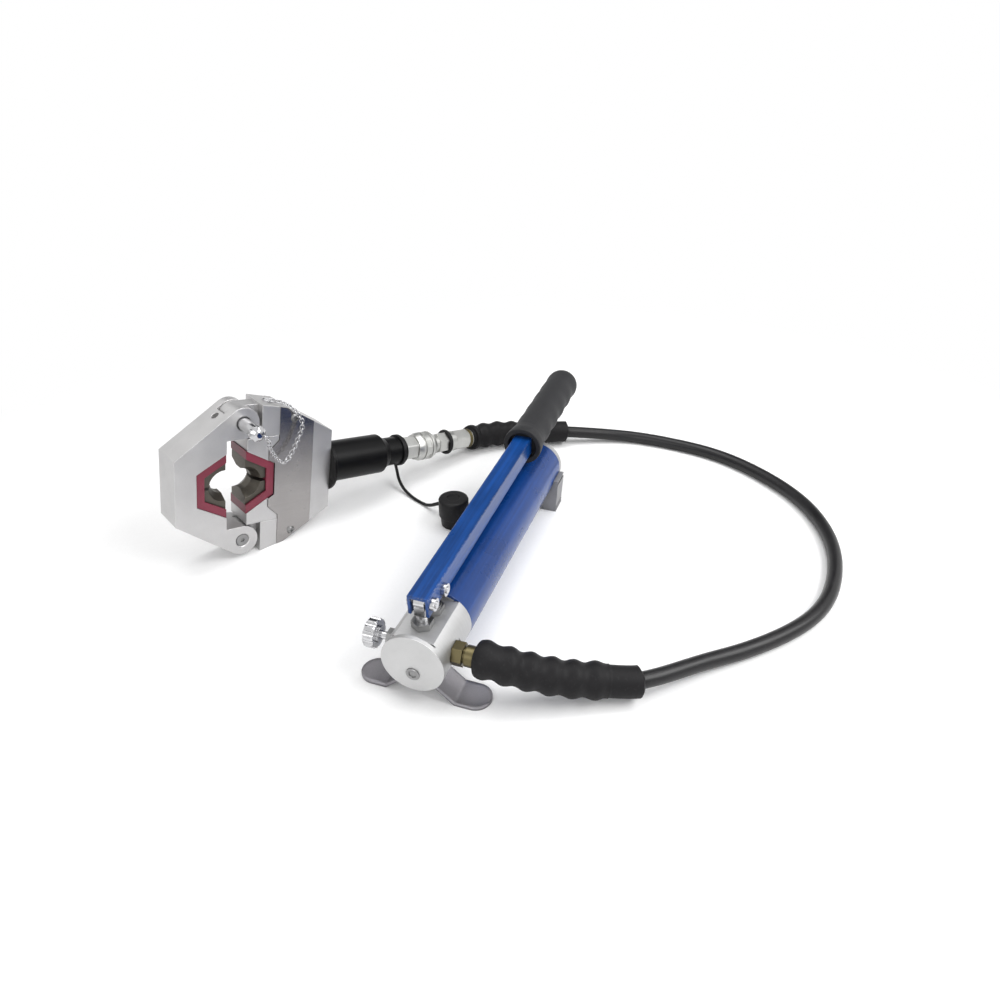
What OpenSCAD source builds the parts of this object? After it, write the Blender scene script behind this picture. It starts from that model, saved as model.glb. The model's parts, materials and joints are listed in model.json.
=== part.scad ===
// Hydraulic hose crimping tool: a hinged crimp head on a ram cylinder, a quick
// coupler, a flexible hose between two rubber grips, and a lever hand pump.
// Millimetres, +Z up, -Y towards the front of the crimp head. The origin lies
// on the crimp axis, in the middle plane of the head.

/* [Crimp head] */
// Thickness of the yoke and the gate
head_t = 36; // [32:1:42]
// Tilt of the head about the crimp axis, cylinder end down
head_roll = 11.5; // [10:0.5:13]
// Distance from the crimp axis to the gate's flat back
gate_back = 51; // [46:1:56]
// Half the height of the gate's flat back
gate_half = 34; // [30:1:38]
// Pins to the right of the crimp axis
pin_x = 17; // [15:1:19]
// Pins above and below the crimp axis
pin_z = 64; // [62:1:66]
// Diameter of the hinge pin and the lock pin
pin_d = 13; // [10:0.5:14]
// Radius of the gate's lugs
lug_r = 16; // [15.5:0.5:17]
// Thickness of the yoke's tongues
tongue_t = 16; // [12:1:18]
// Distance from the crimp axis to the yoke's front shoulders
shoulder_x = 36; // [36:0.5:38]
// Distance from the crimp axis to the yoke's cylinder face
yoke_x = 115.5; // [112:0.5:124]
// Half the height of the yoke at its shoulders
yoke_half = 81; // [81:0.5:86]
// Half the height of the yoke's cylinder face
yoke_end_half = 45; // [40:1:50]
// Length of the flat that the yoke stands on
rest_len = 27; // [22:1:34]

/* [Dies] */
// Half the width of the closed hexagon across its flats
die_flat = 30; // [28:0.5:31]
// Width of the red wall round the jaws
die_wall = 8; // [6:0.5:10]
// Die set thickness
die_t = 34; // [28:1:35]
// Radius of the crimp land
crimp_r = 11.5; // [10:0.5:14]
// Length of the crimp land
land_l = 10; // [6:1:14]
// Jaw thickness
jaw_t = 30; // [24:1:32]
// Mouth radius of the flared jaws
mouth_r = 17; // [15.5:0.5:20]
// Width of the slot between two jaws
jaw_slot = 3.5; // [2:0.5:5]
// Ram travel from open to closed
ram_stroke = 20; // [16:0.5:20]

/* [Side plates] */
// Plate thickness
plate_t = 3; // [2:0.5:4]
// Plate face above the yoke's face
plate_proud = 0.5; // [0:0.1:1]
// Left edge of the plate
plate_x0 = 55; // [54:0.5:56]
// Right edge of the plate
plate_x1 = 93; // [88:1:96]
// Left edge of the plate beside the die
bib_x = 44; // [43:0.5:46]
// Half the height of the plate beside the die
bib_half = 31; // [28:0.5:32]
// Plate screw head diameter
screw_head_d = 9; // [6:0.5:12]
// Plate screws below the height of the yoke's shoulders
screw_in = 17; // [16:0.5:20]

/* [Ram cylinder] */
// Barrel diameter
barrel_d = 45; // [44:0.5:50]
// Barrel length outside the yoke
barrel_l = 73; // [70:1:80]
// Barrel bore
bore_d = 32; // [30:0.5:34]
// Barrel spigot diameter inside the yoke
spigot_d = 30; // [28:0.5:31]
// Barrel spigot length
spigot_l = 20; // [14:1:24]
// Piston rod diameter
rod_d = 22; // [18:0.5:22]
// Diameter of the barrel's face flange
flange_d = 60; // [54:1:64]
// Thickness of the barrel's face flange
flange_t = 3; // [2:0.5:5]
// Return spring wire diameter
spring_wire = 2.6; // [2:0.1:2.8]
// Return spring turns
spring_turns = 5; // [4:1:6]
// Length of the tapered nose
nose_l = 34; // [30:1:40]
// Diameter of the nose behind its taper
nose_d = 33; // [31:0.5:36]
// Strap ring width
strap_ring_w = 4; // [3:0.5:6]

/* [Quick coupler] */
// Nipple hexagon across corners
nipple_d = 30; // [26:0.5:32]
// Nipple hexagon length
nipple_l = 18; // [16:1:24]
// Collar diameter
collar_d = 34; // [32:0.5:38]
// Collar length
collar_l = 28; // [27:1:36]
// Neck diameter
neck_d = 21; // [19:0.5:24]
// Neck length
neck_l = 33; // [30:1:38]
// Rubber ring thickness
ring_wire = 5; // [4:0.5:6]
// Hose nut across corners
nut_d = 27; // [25:0.5:29]
// Hose nut length
nut_l = 28; // [24:1:34]

/* [Hose] */
// Hose diameter
hose_d = 14.5; // [12:0.5:16]
// Largest radius of the grips
grip_r = 16.2; // [15:0.1:16.2]
// Depth of the grips' ripples
ripple = 2.2; // [1:0.1:3]
// Ripples on one grip
ripples = 6; // [4:1:8]
// Radius of the grips' plain ends
grip_end_r = 13.5; // [12:0.5:14.5]
// Diameter of the dust cap's strap
strap_d = 3.6; // [3:0.1:3.8]
// Dust cap diameter
cap_d = 33; // [32:0.5:35]
// Dust cap height
cap_h = 34; // [30:1:38]

/* [Hand pump] */
// Turn of the pump against the crimp head
pump_yaw = 28.8; // [28:0.1:30]
// Reservoir and pump head diameter
pump_d = 55; // [53:0.5:56]
// Height of the pump's axis above the ground
pump_h = 43.5; // [43:0.5:46]
// Pump head length
pump_head_l = 60; // [56:1:64]
// Reservoir length
tube_l = 280; // [250:5:310]
// Reservoir wall
tube_wall = 2.5; // [2:0.25:4]
// End cap length
end_cap_l = 8; // [6:1:12]
// Height of the pump head's flat above the axis
flat_h = 21.5; // [20:0.5:22.5]
// Thickness of the full disc in front of the flat
lip_t = 4; // [3:0.5:6]
// Distance of the cross ports from the front face
port_u = 24; // [22:1:26]
// Front foot steel thickness
foot_t = 3; // [2:0.5:4]
// Front foot half span
foot_span = 59; // [52:1:62]
// Front foot wing width
wing_w = 28; // [24:1:30]
// Rear foot half span
rear_span = 31; // [30:0.5:33]
// Rear foot width along the pump
rear_w = 24; // [20:1:30]
// Release knob diameter
knob_d = 26; // [22:1:30]
// Release knob thickness
knob_t = 12; // [10:1:14]

/* [Lever] */
// Rise of the resting lever
lever_rise = 1.6; // [0:0.1:2]
// Height of the fulcrum pin above the ground
fulcrum_h = 89.5; // [89:0.5:92]
// Fulcrum pin behind the front face
fulcrum_u = 24; // [22:0.5:24]
// Distance between the fulcrum pin and the plunger pin
arm = 22; // [21:0.5:23]
// Plunger pin below the fulcrum pin at rest, in degrees
arm_drop = 5; // [4:0.5:6]
// Lever pin diameter
lever_pin_d = 6; // [5:0.5:6]
// Channel width
channel_w = 18; // [17:0.5:20]
// Channel height
channel_h = 18; // [17:0.5:19]
// Channel wall
channel_wall = 2.5; // [2:0.25:2.5]
// Channel length behind the fulcrum pin
channel_l = 270; // [255:1:285]
// Grip diameter
lever_grip_d = 39; // [36:0.5:40]
// Grip length
lever_grip_l = 170; // [160:1:180]
// Plunger diameter
plunger_d = 12; // [10:0.5:12]

/* [Fits] */
// Radial clearance of running fits
run_clear = 0.05; // [0.03:0.01:0.08]
// Gap between parts that move past each other
gap = 0.3; // [0.25:0.05:0.4]

/* [Hidden] */
$fn = 64;
eps = 0.01;
big = 300;

// Half the thickness of the head, and the depth of the plates' recesses
head_y = head_t / 2;
recess = plate_t - plate_proud;
// The hexagon's side is also its corner radius
die_side = die_flat / cos(30);
seat_flat = die_flat - die_wall;
// The pusher's horns pass under the lugs
horn_z = pin_z - lug_r - 1;
horn_x = ram_stroke + 1;
window_z = horn_z + gap;
pusher_x = ram_stroke + die_flat + 20;
window_x = pusher_x + 4;
tongue_r = lug_r - 1;
slot_t = tongue_t + 2 * gap;
split = gap / 2;
// Height at which the plate's bib meets its left edge
bib_top = bib_half + plate_x0 - bib_x;
// Foot flat and the ground below it
rest_a = [shoulder_x, -yoke_half];
rest_b = rest_a + rest_len * [cos(head_roll), sin(head_roll)];
ground = -(shoulder_x * sin(head_roll) + yoke_half * cos(head_roll));
// Plate screws, and the plate's corner on the yoke's lower slope
screw_x = (plate_x0 + plate_x1) / 2 - 3;
screw_z = yoke_half - screw_in;
screw_d = screw_head_d / 2;
plate_end_z = -rest_b[1] - (plate_x1 - rest_b[0]) * (-rest_b[1] - yoke_end_half) / (yoke_x - rest_b[0]);
// Height of the yoke's sloping top at x
function top_z(x) = yoke_half - (x - shoulder_x) * tan(head_roll);
rivet_x = shoulder_x + 14;
rivet_d = 11;
// Chain links, each turned in the next one's hole
link_r = 2.4;
link_wire = 1.1;
link_step = 2 * link_r - link_wire - 0.2;
// Lock pin
lock_rest_y = -tongue_t / 2 - gap - 0.7;
lock_l = 33;
lock_knob_l = 9;
lock_knob_d = 16;
// Ram cylinder stations along the head's own x axis
spigot_x = yoke_x - spigot_l;
bore_x = yoke_x + 5;
barrel_end = yoke_x + barrel_l;
bore_end = barrel_end - 8;
piston_l = 18;
piston_x = bore_end - 4 - piston_l;
nose_end = barrel_end + nose_l;
taper_l = 9;
nipple_end = nose_end + nipple_l;
collar_end = nipple_end + collar_l;
neck_end = collar_end + neck_l;
nut_end = neck_end + nut_l;
strap_ring_x = nose_end - strap_ring_w - 3;
// Tapers and grooves of the collar, and the flange at the neck's end
collar_taper = 6;
collar_groove_w = 2;
collar_groove_in = 8;
neck_flange = 8;
stem_d = 15;
oil_d = 5;
seal_wire = 3;
seal_play = 0.1;
piston_d = bore_d - 2 * run_clear;
// Pump stations
pump_r = pump_d / 2;
tube_bore = pump_d - 2 * tube_wall;
tube_end = pump_head_l + tube_l;
head_spigot = 14;
head_end = pump_head_l + head_spigot;
cap_spigot = 12;
plug_d = 16;
flat_z = pump_h + flat_h;
spot_y = pump_r - 1;
port_d = 13;
port_l = 19;
port_end = spot_y + port_l;
// Check valves and oil ways inside the pump head
ball_d = 7.5;
ball_bore = ball_d + 0.5;
suction_z = -14;
way_d = 4;
port_in = way_d + ball_d + 2;
valve_in = 8;
valve_d = 10;
valve_stem_d = 7;
// The front foot seats in a flat under the pump head
foot_top = pump_h - pump_r + 0.8;
foot_u = port_u - 2;
foot_screw_u = [foot_u - 8, foot_u + 8];
foot_screw_d = 5;
foot_screw_l = foot_t + 8;
plunger_u = fulcrum_u + arm - 2;
plunger_pin_u = fulcrum_u + arm * cos(arm_drop);
plunger_pin_h = fulcrum_h - arm * sin(arm_drop);
eye_t = 9;
eye_r = 5.7;
post_d = 10;
post_sink = 12;
roof = eye_r + gap + channel_wall;
channel_in = channel_w - 2 * channel_wall;
channel_front = 6.5;
knob_y = pump_r + 11.5;
arm_angle = arm_drop + lever_rise;
arm_pin = [arm * cos(arm_angle), -arm * sin(arm_angle)];
handle_d = 18;
handle_z = roof - channel_h / 2;
// The grip laps over the channel and closes beyond the handle's end
grip_lap = 12;
grip_close = 12;
grip_x0 = channel_l - grip_lap;
// Places of the pump and the route of the hose, chosen by hand
pump_place = [14, -300];
// Hose points: x, y and height above the ground
hose_points = [[80, -355, 35], [105, -376, 25], [131, -396, 19], [158, -418, 16.4], [192, -429, 14],
    [227, -438, 10], [256, -449, 7.8], [300, -462, 7.4], [346, -469, 7.4], [390, -463, 7.4],
    [436, -444, 7.4], [476, -418, 7.4], [513, -377, 7.4], [536, -328, 7.4], [546, -270, 7.4],
    [545, -225, 7.4], [532, -182, 7.4], [511, -135, 7.4], [485, -104, 9.5], [437, -67, 16.4],
    [410, -46.5, 16.4], [385, -27, 16.7], [362, -9.5, 17.3]];
near_points = 4;
far_points = 4;
// Straight stretch of the hose inside each grip's fitting end
grip_lead = 14;
strap_points = [[205, -12, 10.5], [202, -26, 4.6], [201, -45, 2], [202, -64, 2.2], [202.5, -76, 6],
    [204, -86, 11.8]];
strap_level = 7;
cap_place = [205, -116];
// Chain points in the head's own frame, first from the rivet, then over the front face, then at the knob
chain_start = [rivet_x, 0, top_z(rivet_x)];
chain_face = chain_start - [0, head_y, 0];
chain_knob = [pin_x, lock_rest_y - lock_l, pin_z];
chain_points = concat(
    [for (p = [[0, -9, 3.65], [8, -18, 2.9]]) chain_start + p],
    [for (p = [[16, -5, -2.6], [23.5, -8, -12.6], [25, -8.5, -22], [21, -8.5, -33.6], [16, -9, -44.6],
        [10, -10, -53], [3.5, -12, -55.8]]) chain_face + p],
    [for (p = [[28, 8.5, -35.5], [20, 3, -26], [12.5, -4, -15], [9, -10, -6.5], [3.5, -12.5, 0]])
        chain_knob + p]);

// Helpers

// Turns a flat outline in x and z into a slab across the head
module slab(t, y = 0) {
    translate([0, y, 0]) rotate([90, 0, 0]) linear_extrude(t, center = true) children();
}

// A cylinder along the crimp axis, from y0 to y1
module cross_rod(d, y0, y1, x = 0, z = 0) {
    translate([x, y1, z]) rotate([90, 0, 0]) cylinder(d = d, h = y1 - y0);
}

// A cylinder or cone along x, from x0 to x1
module long_rod(d, x0, x1, d2 = undef, sides = $fn) {
    end_d = is_undef(d2) ? d : d2;
    translate([x0, 0, 0]) rotate([0, 90, 0]) cylinder(d1 = d, d2 = end_d, h = x1 - x0, $fn = sides);
}

// A straight tube along x
module long_tube(d, bore, x0, x1) {
    difference() {
        long_rod(d, x0, x1);
        long_rod(bore, x0 - 1, x1 + 1);
    }
}

// A ring of round section about the x axis
module ring_x(mid_d, wire, x) {
    translate([x, 0, 0]) rotate([0, 90, 0]) rotate_extrude() translate([mid_d / 2, 0]) circle(d = wire);
}

// A square groove round a shaft of diameter d, and the seal that lies in it
module seal_groove(d, x) {
    half = seal_wire / 2 + seal_play;
    long_tube(d + 2, d - 2 * seal_wire, x - half, x + half);
}

module seal_in_groove(d, x) {
    ring_x(d - seal_wire, seal_wire - 2 * seal_play, x);
}

module in_head() {
    rotate([0, head_roll, 0]) children();
}

module in_pump() {
    translate([pump_place[0], pump_place[1], ground]) rotate([0, 0, pump_yaw]) children();
}

// The pump's own axis, along x from the front face
module on_pump_axis() {
    in_pump() translate([0, 0, pump_h]) children();
}

module in_lever() {
    in_pump() translate([fulcrum_u, 0, fulcrum_h]) rotate([0, -lever_rise, 0]) children();
}

// The same places for points
function head_point(p) = [p[0] * cos(head_roll) + p[2] * sin(head_roll), p[1],
    p[2] * cos(head_roll) - p[0] * sin(head_roll)];
function pump_dir(u, v) = [u * cos(pump_yaw) - v * sin(pump_yaw), u * sin(pump_yaw) + v * cos(pump_yaw), 0];
function pump_point(u, v, h) = [pump_place[0], pump_place[1], ground + h] + pump_dir(u, v);
function above_ground(p) = [p[0], p[1], p[2] + ground];

// A smooth curve through points, and its direction
function near_four(p, i) = [p[max(i - 1, 0)], p[i], p[min(i + 1, len(p) - 1)], p[min(i + 2, len(p) - 1)]];
function spot(q, t) = 0.5 * (2 * q[1] + (q[2] - q[0]) * t + (2 * q[0] - 5 * q[1] + 4 * q[2] - q[3]) * t * t
    + (3 * q[1] - q[0] - 3 * q[2] + q[3]) * t * t * t);
function slope(q, t) = 0.5 * ((q[2] - q[0]) + 2 * (2 * q[0] - 5 * q[1] + 4 * q[2] - q[3]) * t
    + 3 * (3 * q[1] - q[0] - 3 * q[2] + q[3]) * t * t);
function unit(v) = v / norm(v);
// Steps from point i0 to point i1 of a list, as pairs of index and fraction
function steps(i0, i1, n) = concat([for (i = [i0 : i1 - 1], k = [0 : n - 1]) [i, k / n]], [[i1, 0]]);
function line_of(p, s) = [for (c = s) spot(near_four(p, c[0]), c[1])];
function dirs_of(p, s) = [for (c = s) unit(slope(near_four(p, c[0]), c[1]))];

// A closed tube of changing radius along a line
module sweep(line, dirs, radii, sides, ref) {
    n = len(line);
    points = [for (i = [0 : n - 1], k = [0 : sides - 1])
        let (s = unit(cross(dirs[i], ref)), u = cross(s, dirs[i]), a = 360 * k / sides)
        line[i] + radii[i] * (cos(a) * s + sin(a) * u)];
    function at(i, k) = i * sides + k % sides;
    walls = [for (i = [0 : n - 2], k = [0 : sides - 1], half = [0, 1])
        half == 0 ? [at(i, k), at(i, k + 1), at(i + 1, k + 1)] : [at(i, k), at(i + 1, k + 1), at(i + 1, k)]];
    first = [for (k = [0 : sides - 1]) sides - 1 - k];
    last = [for (k = [0 : sides - 1]) at(n - 1, k)];
    polyhedron(points, concat([first], walls, [last]));
}

// Outlines of the head, in x and z

// Where a line from p touches a circle
function touch(p, c, r, side) = let (v = c - p, d = norm(v), a = atan2(v[1], v[0]) + side * asin(r / d))
    p + sqrt(d * d - r * r) * [cos(a), sin(a)];
gate_corner = [-gate_back, gate_half];
gate_touch = touch(gate_corner, [pin_x, pin_z], lug_r, 1);
gate_upper = [gate_corner, gate_touch, [pin_x, pin_z], [pin_x, pin_z - lug_r], [-split, pin_z - lug_r]];

function flipped(list) = [for (i = [len(list) - 1 : -1 : 0]) [list[i][0], -list[i][1]]];

module both_ends() {
    children();
    mirror([0, 1]) children();
}

// Half a hexagon with its split at x0, carried on past the split by reach
module half_hex(flat, x0, grow = 0, reach = 0) {
    far = flat + grow;
    r = far / cos(30);
    past = reach > 0 ? [[x0 - reach, -r], [x0 - reach, r]] : [];
    polygon(concat([[x0, r], [x0 + far, r / 2], [x0 + far, -r / 2], [x0, -r]], past));
}

module yoke_outline() {
    upper = [[rest_a[0], -rest_a[1]], [rest_b[0], -rest_b[1]], [yoke_x, yoke_end_half]];
    polygon(concat(upper, flipped(upper)));
}

// Room for a tongue between the gate's cheeks, also while the gate swings
module tongue_room() {
    r = tongue_r + gap;
    translate([pin_x, pin_z]) circle(r);
    translate([pin_x, pin_z - lug_r - 1]) square([big, big]);
    translate([pin_x - r, pin_z]) square([big, big]);
}

module tongue_outline() {
    translate([pin_x, pin_z]) circle(tongue_r);
    translate([pin_x, pin_z - tongue_r]) square([shoulder_x - pin_x + 4, 2 * tongue_r - 1]);
    translate([pin_x, pin_z - tongue_r]) square([shoulder_x - pin_x, 2 * tongue_r]);
}

// Crimp head, fixed pieces

module yoke() {
    color("silver") in_head() difference() {
        union() {
            difference() {
                slab(head_t) yoke_outline();
                slab(head_t + 2) translate([-big, -window_z]) square([big + window_x, 2 * window_z]);
                for (side = [-1, 1])
                    slab(2 * recess, side * head_y) translate([plate_x0, -big / 2])
                        square([plate_x1 - plate_x0, big]);
            }
            slab(tongue_t) both_ends() tongue_outline();
        }
        for (end = [-1, 1])
            cross_rod(pin_d + 2 * (end > 0 ? gap : 0), -head_t, head_t, pin_x, end * pin_z);
        long_rod(rod_d + 2 * run_clear, window_x - 1, yoke_x);
        long_rod(spigot_d, spigot_x, yoke_x + 1);
        for (end = [-1, 1])
            cross_rod(screw_d, -head_t, head_t, screw_x, end * screw_z);
    }
}

// One side plate, drawn for the front
module side_plate() {
    y = -head_y - plate_proud + plate_t / 2;
    upper = [[bib_x, bib_half], [plate_x0, bib_top], [plate_x0, top_z(plate_x0)], [rest_b[0], -rest_b[1]],
        [plate_x1, plate_end_z]];
    difference() {
        slab(plate_t, y) polygon(concat(upper, flipped(upper)));
        slab(plate_t + 2, y) half_hex(die_flat, ram_stroke, 2 * gap);
        for (end = [-1, 1])
            cross_rod(screw_d + 0.4, y - plate_t, y + plate_t, screw_x, end * screw_z);
    }
}

module front_plate() {
    color("gainsboro") in_head() side_plate();
}

module rear_plate() {
    color("gainsboro") in_head() mirror([0, 1, 0]) side_plate();
}

// A domed screw with a cross recess, its head on z = 0
module cross_screw(head_d, shank_d, shank_l) {
    head_l = head_d * 0.26;
    difference() {
        union() {
            cylinder(d1 = head_d, d2 = head_d * 0.7, h = head_l);
            translate([0, 0, -shank_l]) cylinder(d = shank_d, h = shank_l + eps);
        }
        for (turn = [0, 90]) rotate([0, 0, turn])
            translate([-head_d * 0.3, -head_d * 0.06, head_l * 0.4])
                cube([head_d * 0.6, head_d * 0.12, head_l]);
    }
}

module plate_screws() {
    color("silver") in_head() for (end = [-1, 1], side = [-1, 1])
        translate([screw_x, side * (head_y + plate_proud), end * screw_z]) rotate([-side * 90, 0, 0])
            cross_screw(screw_head_d, screw_d, 12);
}

module hinge_pin() {
    color("gray") in_head() difference() {
        cross_rod(pin_d, -head_y + 0.5, head_y - 0.5, pin_x, -pin_z);
        for (side = [-1, 1])
            cross_rod(pin_d / 3, side * (head_y - 0.5) - 1.5, side * (head_y - 0.5) + 1.5, pin_x, -pin_z);
    }
}

module chain_rivet() {
    color("gainsboro") in_head() translate([rivet_x, 0, top_z(rivet_x)]) rotate([0, head_roll, 0]) {
        cylinder(d = rivet_d, h = 1.2);
        translate([0, 0, 1.2 - eps]) cylinder(d1 = rivet_d, d2 = rivet_d * 0.7, h = 1);
    }
}

chain_line = line_of(chain_points, steps(0, len(chain_points) - 1, 8));
chain_run = [for (i = 0, d = 0; i < len(chain_line); i = i + 1,
    d = i < len(chain_line) ? d + norm(chain_line[i] - chain_line[i - 1]) : d) d];
chain_length = chain_run[len(chain_run) - 1];
// The piece of the chain's line that holds the length d
function chain_piece(d) = max([for (i = [0 : len(chain_run) - 2]) if (chain_run[i] <= d) i]);

module lock_chain() {
    color("silver") in_head() for (k = [0 : floor(chain_length / link_step)]) {
        i = chain_piece(k * link_step);
        dir = unit(chain_line[i + 1] - chain_line[i]);
        translate(chain_line[i] + (k * link_step - chain_run[i]) * dir)
            rotate([0, atan2(-dir[2], dir[0]), 0]) rotate([0, 0, asin(dir[1])]) rotate([k % 2 * 90, 0, 0])
                rotate_extrude() translate([link_r, 0]) circle(d = link_wire);
    }
}

module cylinder_barrel() {
    color([0.07, 0.07, 0.08]) in_head() difference() {
        union() {
            long_rod(spigot_d, spigot_x, yoke_x + 1);
            long_rod(flange_d, yoke_x, yoke_x + flange_t);
            long_rod(barrel_d, yoke_x, barrel_end);
        }
        long_rod(rod_d + 2 * run_clear, spigot_x - 1, bore_x + 1);
        long_rod(bore_d, bore_x, bore_end);
        long_rod(stem_d, bore_end - 1, barrel_end + 1);
    }
}

module barrel_nose() {
    color([0.09, 0.09, 0.1]) in_head() difference() {
        union() {
            long_rod(barrel_d - 1, barrel_end, barrel_end + taper_l, nose_d);
            long_rod(nose_d, barrel_end + taper_l - eps, nose_end);
            long_rod(stem_d, barrel_end - 6, barrel_end + 1);
        }
        long_tube(nose_d + 2, nose_d - 2, strap_ring_x, strap_ring_x + strap_ring_w);
        long_rod(oil_d, barrel_end - 7, nose_end);
        long_rod(stem_d, nose_end - 13, nose_end + 1);
    }
}

module strap_ring() {
    color([0.06, 0.06, 0.06]) in_head()
        long_tube(nose_d + 4, nose_d - 2, strap_ring_x, strap_ring_x + strap_ring_w);
}

// Quick coupler

module coupler_nipple() {
    color("gainsboro") in_head() difference() {
        union() {
            long_rod(stem_d, nose_end - 13, nose_end + 1);
            intersection() {
                long_rod(nipple_d, nose_end, nipple_end, sides = 6);
                long_rod(nipple_d * 0.965, nose_end, nipple_end);
            }
            long_rod(neck_d - 2, nipple_end - eps, collar_end - 6);
        }
        long_rod(oil_d, nose_end - 14, collar_end);
    }
}

module coupler_collar() {
    ridge = 1.2;
    flat_in = collar_groove_in + collar_groove_w + 1;
    color("gainsboro") in_head() difference() {
        union() {
            long_rod(collar_d - 4, nipple_end + gap, nipple_end + collar_taper, collar_d);
            long_rod(collar_d, nipple_end + collar_taper - eps, collar_end - collar_taper);
            long_rod(collar_d, collar_end - collar_taper - eps, collar_end, neck_d + 6);
        }
        long_rod(neck_d + 2 * run_clear, nipple_end, collar_end + 1);
        for (x = [nipple_end + collar_groove_in, collar_end - collar_groove_in - collar_groove_w])
            long_tube(collar_d + 2, collar_d - 2 * ridge, x, x + collar_groove_w);
        for (turn = [0 : 60 : 359]) rotate([turn, 0, 0])
            translate([nipple_end + flat_in, -4, collar_d / 2 - 0.8]) cube([collar_l - 2 * flat_in, 8, 4]);
    }
}

module coupler_body() {
    hex_in = 7;
    ring_x0 = neck_end - neck_flange;
    color("gainsboro") in_head() difference() {
        union() {
            long_tube(neck_d, neck_d - 2, nipple_end + 2, collar_end - 4);
            long_rod(neck_d, collar_end - 5, neck_end);
            long_rod(neck_d + 5, collar_end + hex_in, ring_x0 - ring_wire, sides = 6);
            long_rod(neck_d + 4, neck_end - neck_flange, neck_end);
            long_rod(stem_d, neck_end - 1, neck_end + 12);
        }
        long_rod(oil_d, collar_end - 6, neck_end + 13);
    }
}

module coupler_ring() {
    ring_mid = neck_end - neck_flange - ring_wire / 2;
    color([0.05, 0.05, 0.05]) in_head() ring_x(neck_d + ring_wire, ring_wire, ring_mid);
}

module hose_nut() {
    color("gainsboro") in_head() difference() {
        union() {
            intersection() {
                long_rod(nut_d, neck_end, nut_end - 8, sides = 6);
                long_rod(nut_d * 0.965, neck_end, nut_end - 8);
            }
            long_rod(nut_d * 0.84, nut_end - 8 - eps, nut_end);
        }
        long_rod(stem_d, neck_end - 1, neck_end + 12);
        long_rod(oil_d, neck_end, nut_end + 1);
    }
}

// Hose, grips and dust cap

far_start = head_point([nut_end, 0, 0]);
far_lead = head_point([nut_end + grip_lead, 0, 0]);
near_start = pump_point(port_u, -port_end, pump_h);
near_lead = pump_point(port_u, -port_end - grip_lead, pump_h);
route = concat([near_start, near_lead], [for (p = hose_points) above_ground(p)], [far_lead, far_start]);
near_last = near_points + 1;
far_first = len(route) - 2 - far_points;
upward = [0, 0, 1];

// Grip radius at a fraction f of its length, from its fitting to its plain end
function grip_radius(f) = f > 0.8 ? grip_end_r
    : grip_r - ripple / 2 * (1 - cos(360 * (f / 0.8 * ripples - 0.4))) - (f < 0.02 ? 2.5 : 0);

module grip(i0, i1, from_start) {
    s = steps(i0, i1, 12);
    n = len(s) - 1;
    radii = [for (k = [0 : n]) grip_radius(from_start ? k / n : 1 - k / n)];
    sweep(line_of(route, s), dirs_of(route, s), radii, 14, upward);
}

module near_grip() {
    color([0.16, 0.16, 0.17]) grip(0, near_last, true);
}

module far_grip() {
    color([0.16, 0.16, 0.17]) grip(far_first, len(route) - 1, false);
}

module hose() {
    s = steps(near_last, far_first, 2);
    color([0.05, 0.05, 0.05])
        sweep(line_of(route, s), dirs_of(route, s), [for (c = s) hose_d / 2], 12, upward);
}

strap_from = head_point([strap_ring_x + strap_ring_w / 2, 0, -nose_d / 2 - 2]);
strap_to = [cap_place[0], cap_place[1] + cap_d / 2 + gap, ground + cap_h * 0.45];
strap_route = concat([strap_from, strap_from - [0, 2, 8]], [for (p = strap_points) above_ground(p)],
    [strap_to + [0, strap_level, -0.5], strap_to]);

module cap_strap() {
    s = steps(0, len(strap_route) - 1, 2);
    color([0.05, 0.05, 0.05])
        sweep(line_of(strap_route, s), dirs_of(strap_route, s), [for (c = s) strap_d / 2], 8, [1, 0, 0]);
}

module dust_cap() {
    wall = 3.5;
    r = cap_d / 2;
    color([0.05, 0.05, 0.05]) translate([cap_place[0], cap_place[1], ground]) rotate_extrude()
        polygon([[0, cap_h - wall], [r - wall, cap_h - wall], [r - wall, 0], [r - 2.2, 0],
            [r - 1.4, cap_h * 0.34], [r, cap_h * 0.37], [r, cap_h - 2], [r - 2, cap_h], [0, cap_h]]);
}

// Gate and lock

module gate() {
    dimple = gate_touch + 14 * unit(gate_corner - gate_touch);
    fall = atan2(gate_touch[1] - gate_corner[1], gate_touch[0] - gate_corner[0]);
    color("silver") in_head() difference() {
        union() {
            slab(head_t) polygon(concat(gate_upper, flipped(gate_upper)));
            for (end = [-1, 1]) cross_rod(2 * lug_r, -head_y, head_y, pin_x, end * pin_z);
        }
        slab(head_t + 2) mirror([1, 0]) half_hex(die_flat, 0, 2 * run_clear, 1);
        slab(slot_t) both_ends() tongue_room();
        for (end = [-1, 1]) {
            cross_rod(pin_d + 2 * run_clear, -head_t, head_t, pin_x, end * pin_z);
            for (side = [-1, 1]) translate([pin_x, side * head_y, end * pin_z]) rotate([-side * 90, 0, 0])
                translate([0, 0, -1.2]) cylinder(d1 = pin_d, d2 = pin_d + 4.8, h = 2.4);
        }
        translate([dimple[0], 0, dimple[1]]) rotate([0, -fall, 0]) translate([0, 0, -5])
            cylinder(d = 8, h = 8);
    }
}

// Red half of the die set, drawn for the ram side with its split at x = 0
module half_die() {
    slab(die_t) difference() {
        half_hex(die_flat, 0);
        half_hex(seat_flat, 0, 0, 1);
        translate([-1, -big / 2]) square([1 + split, big]);
    }
}

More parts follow.
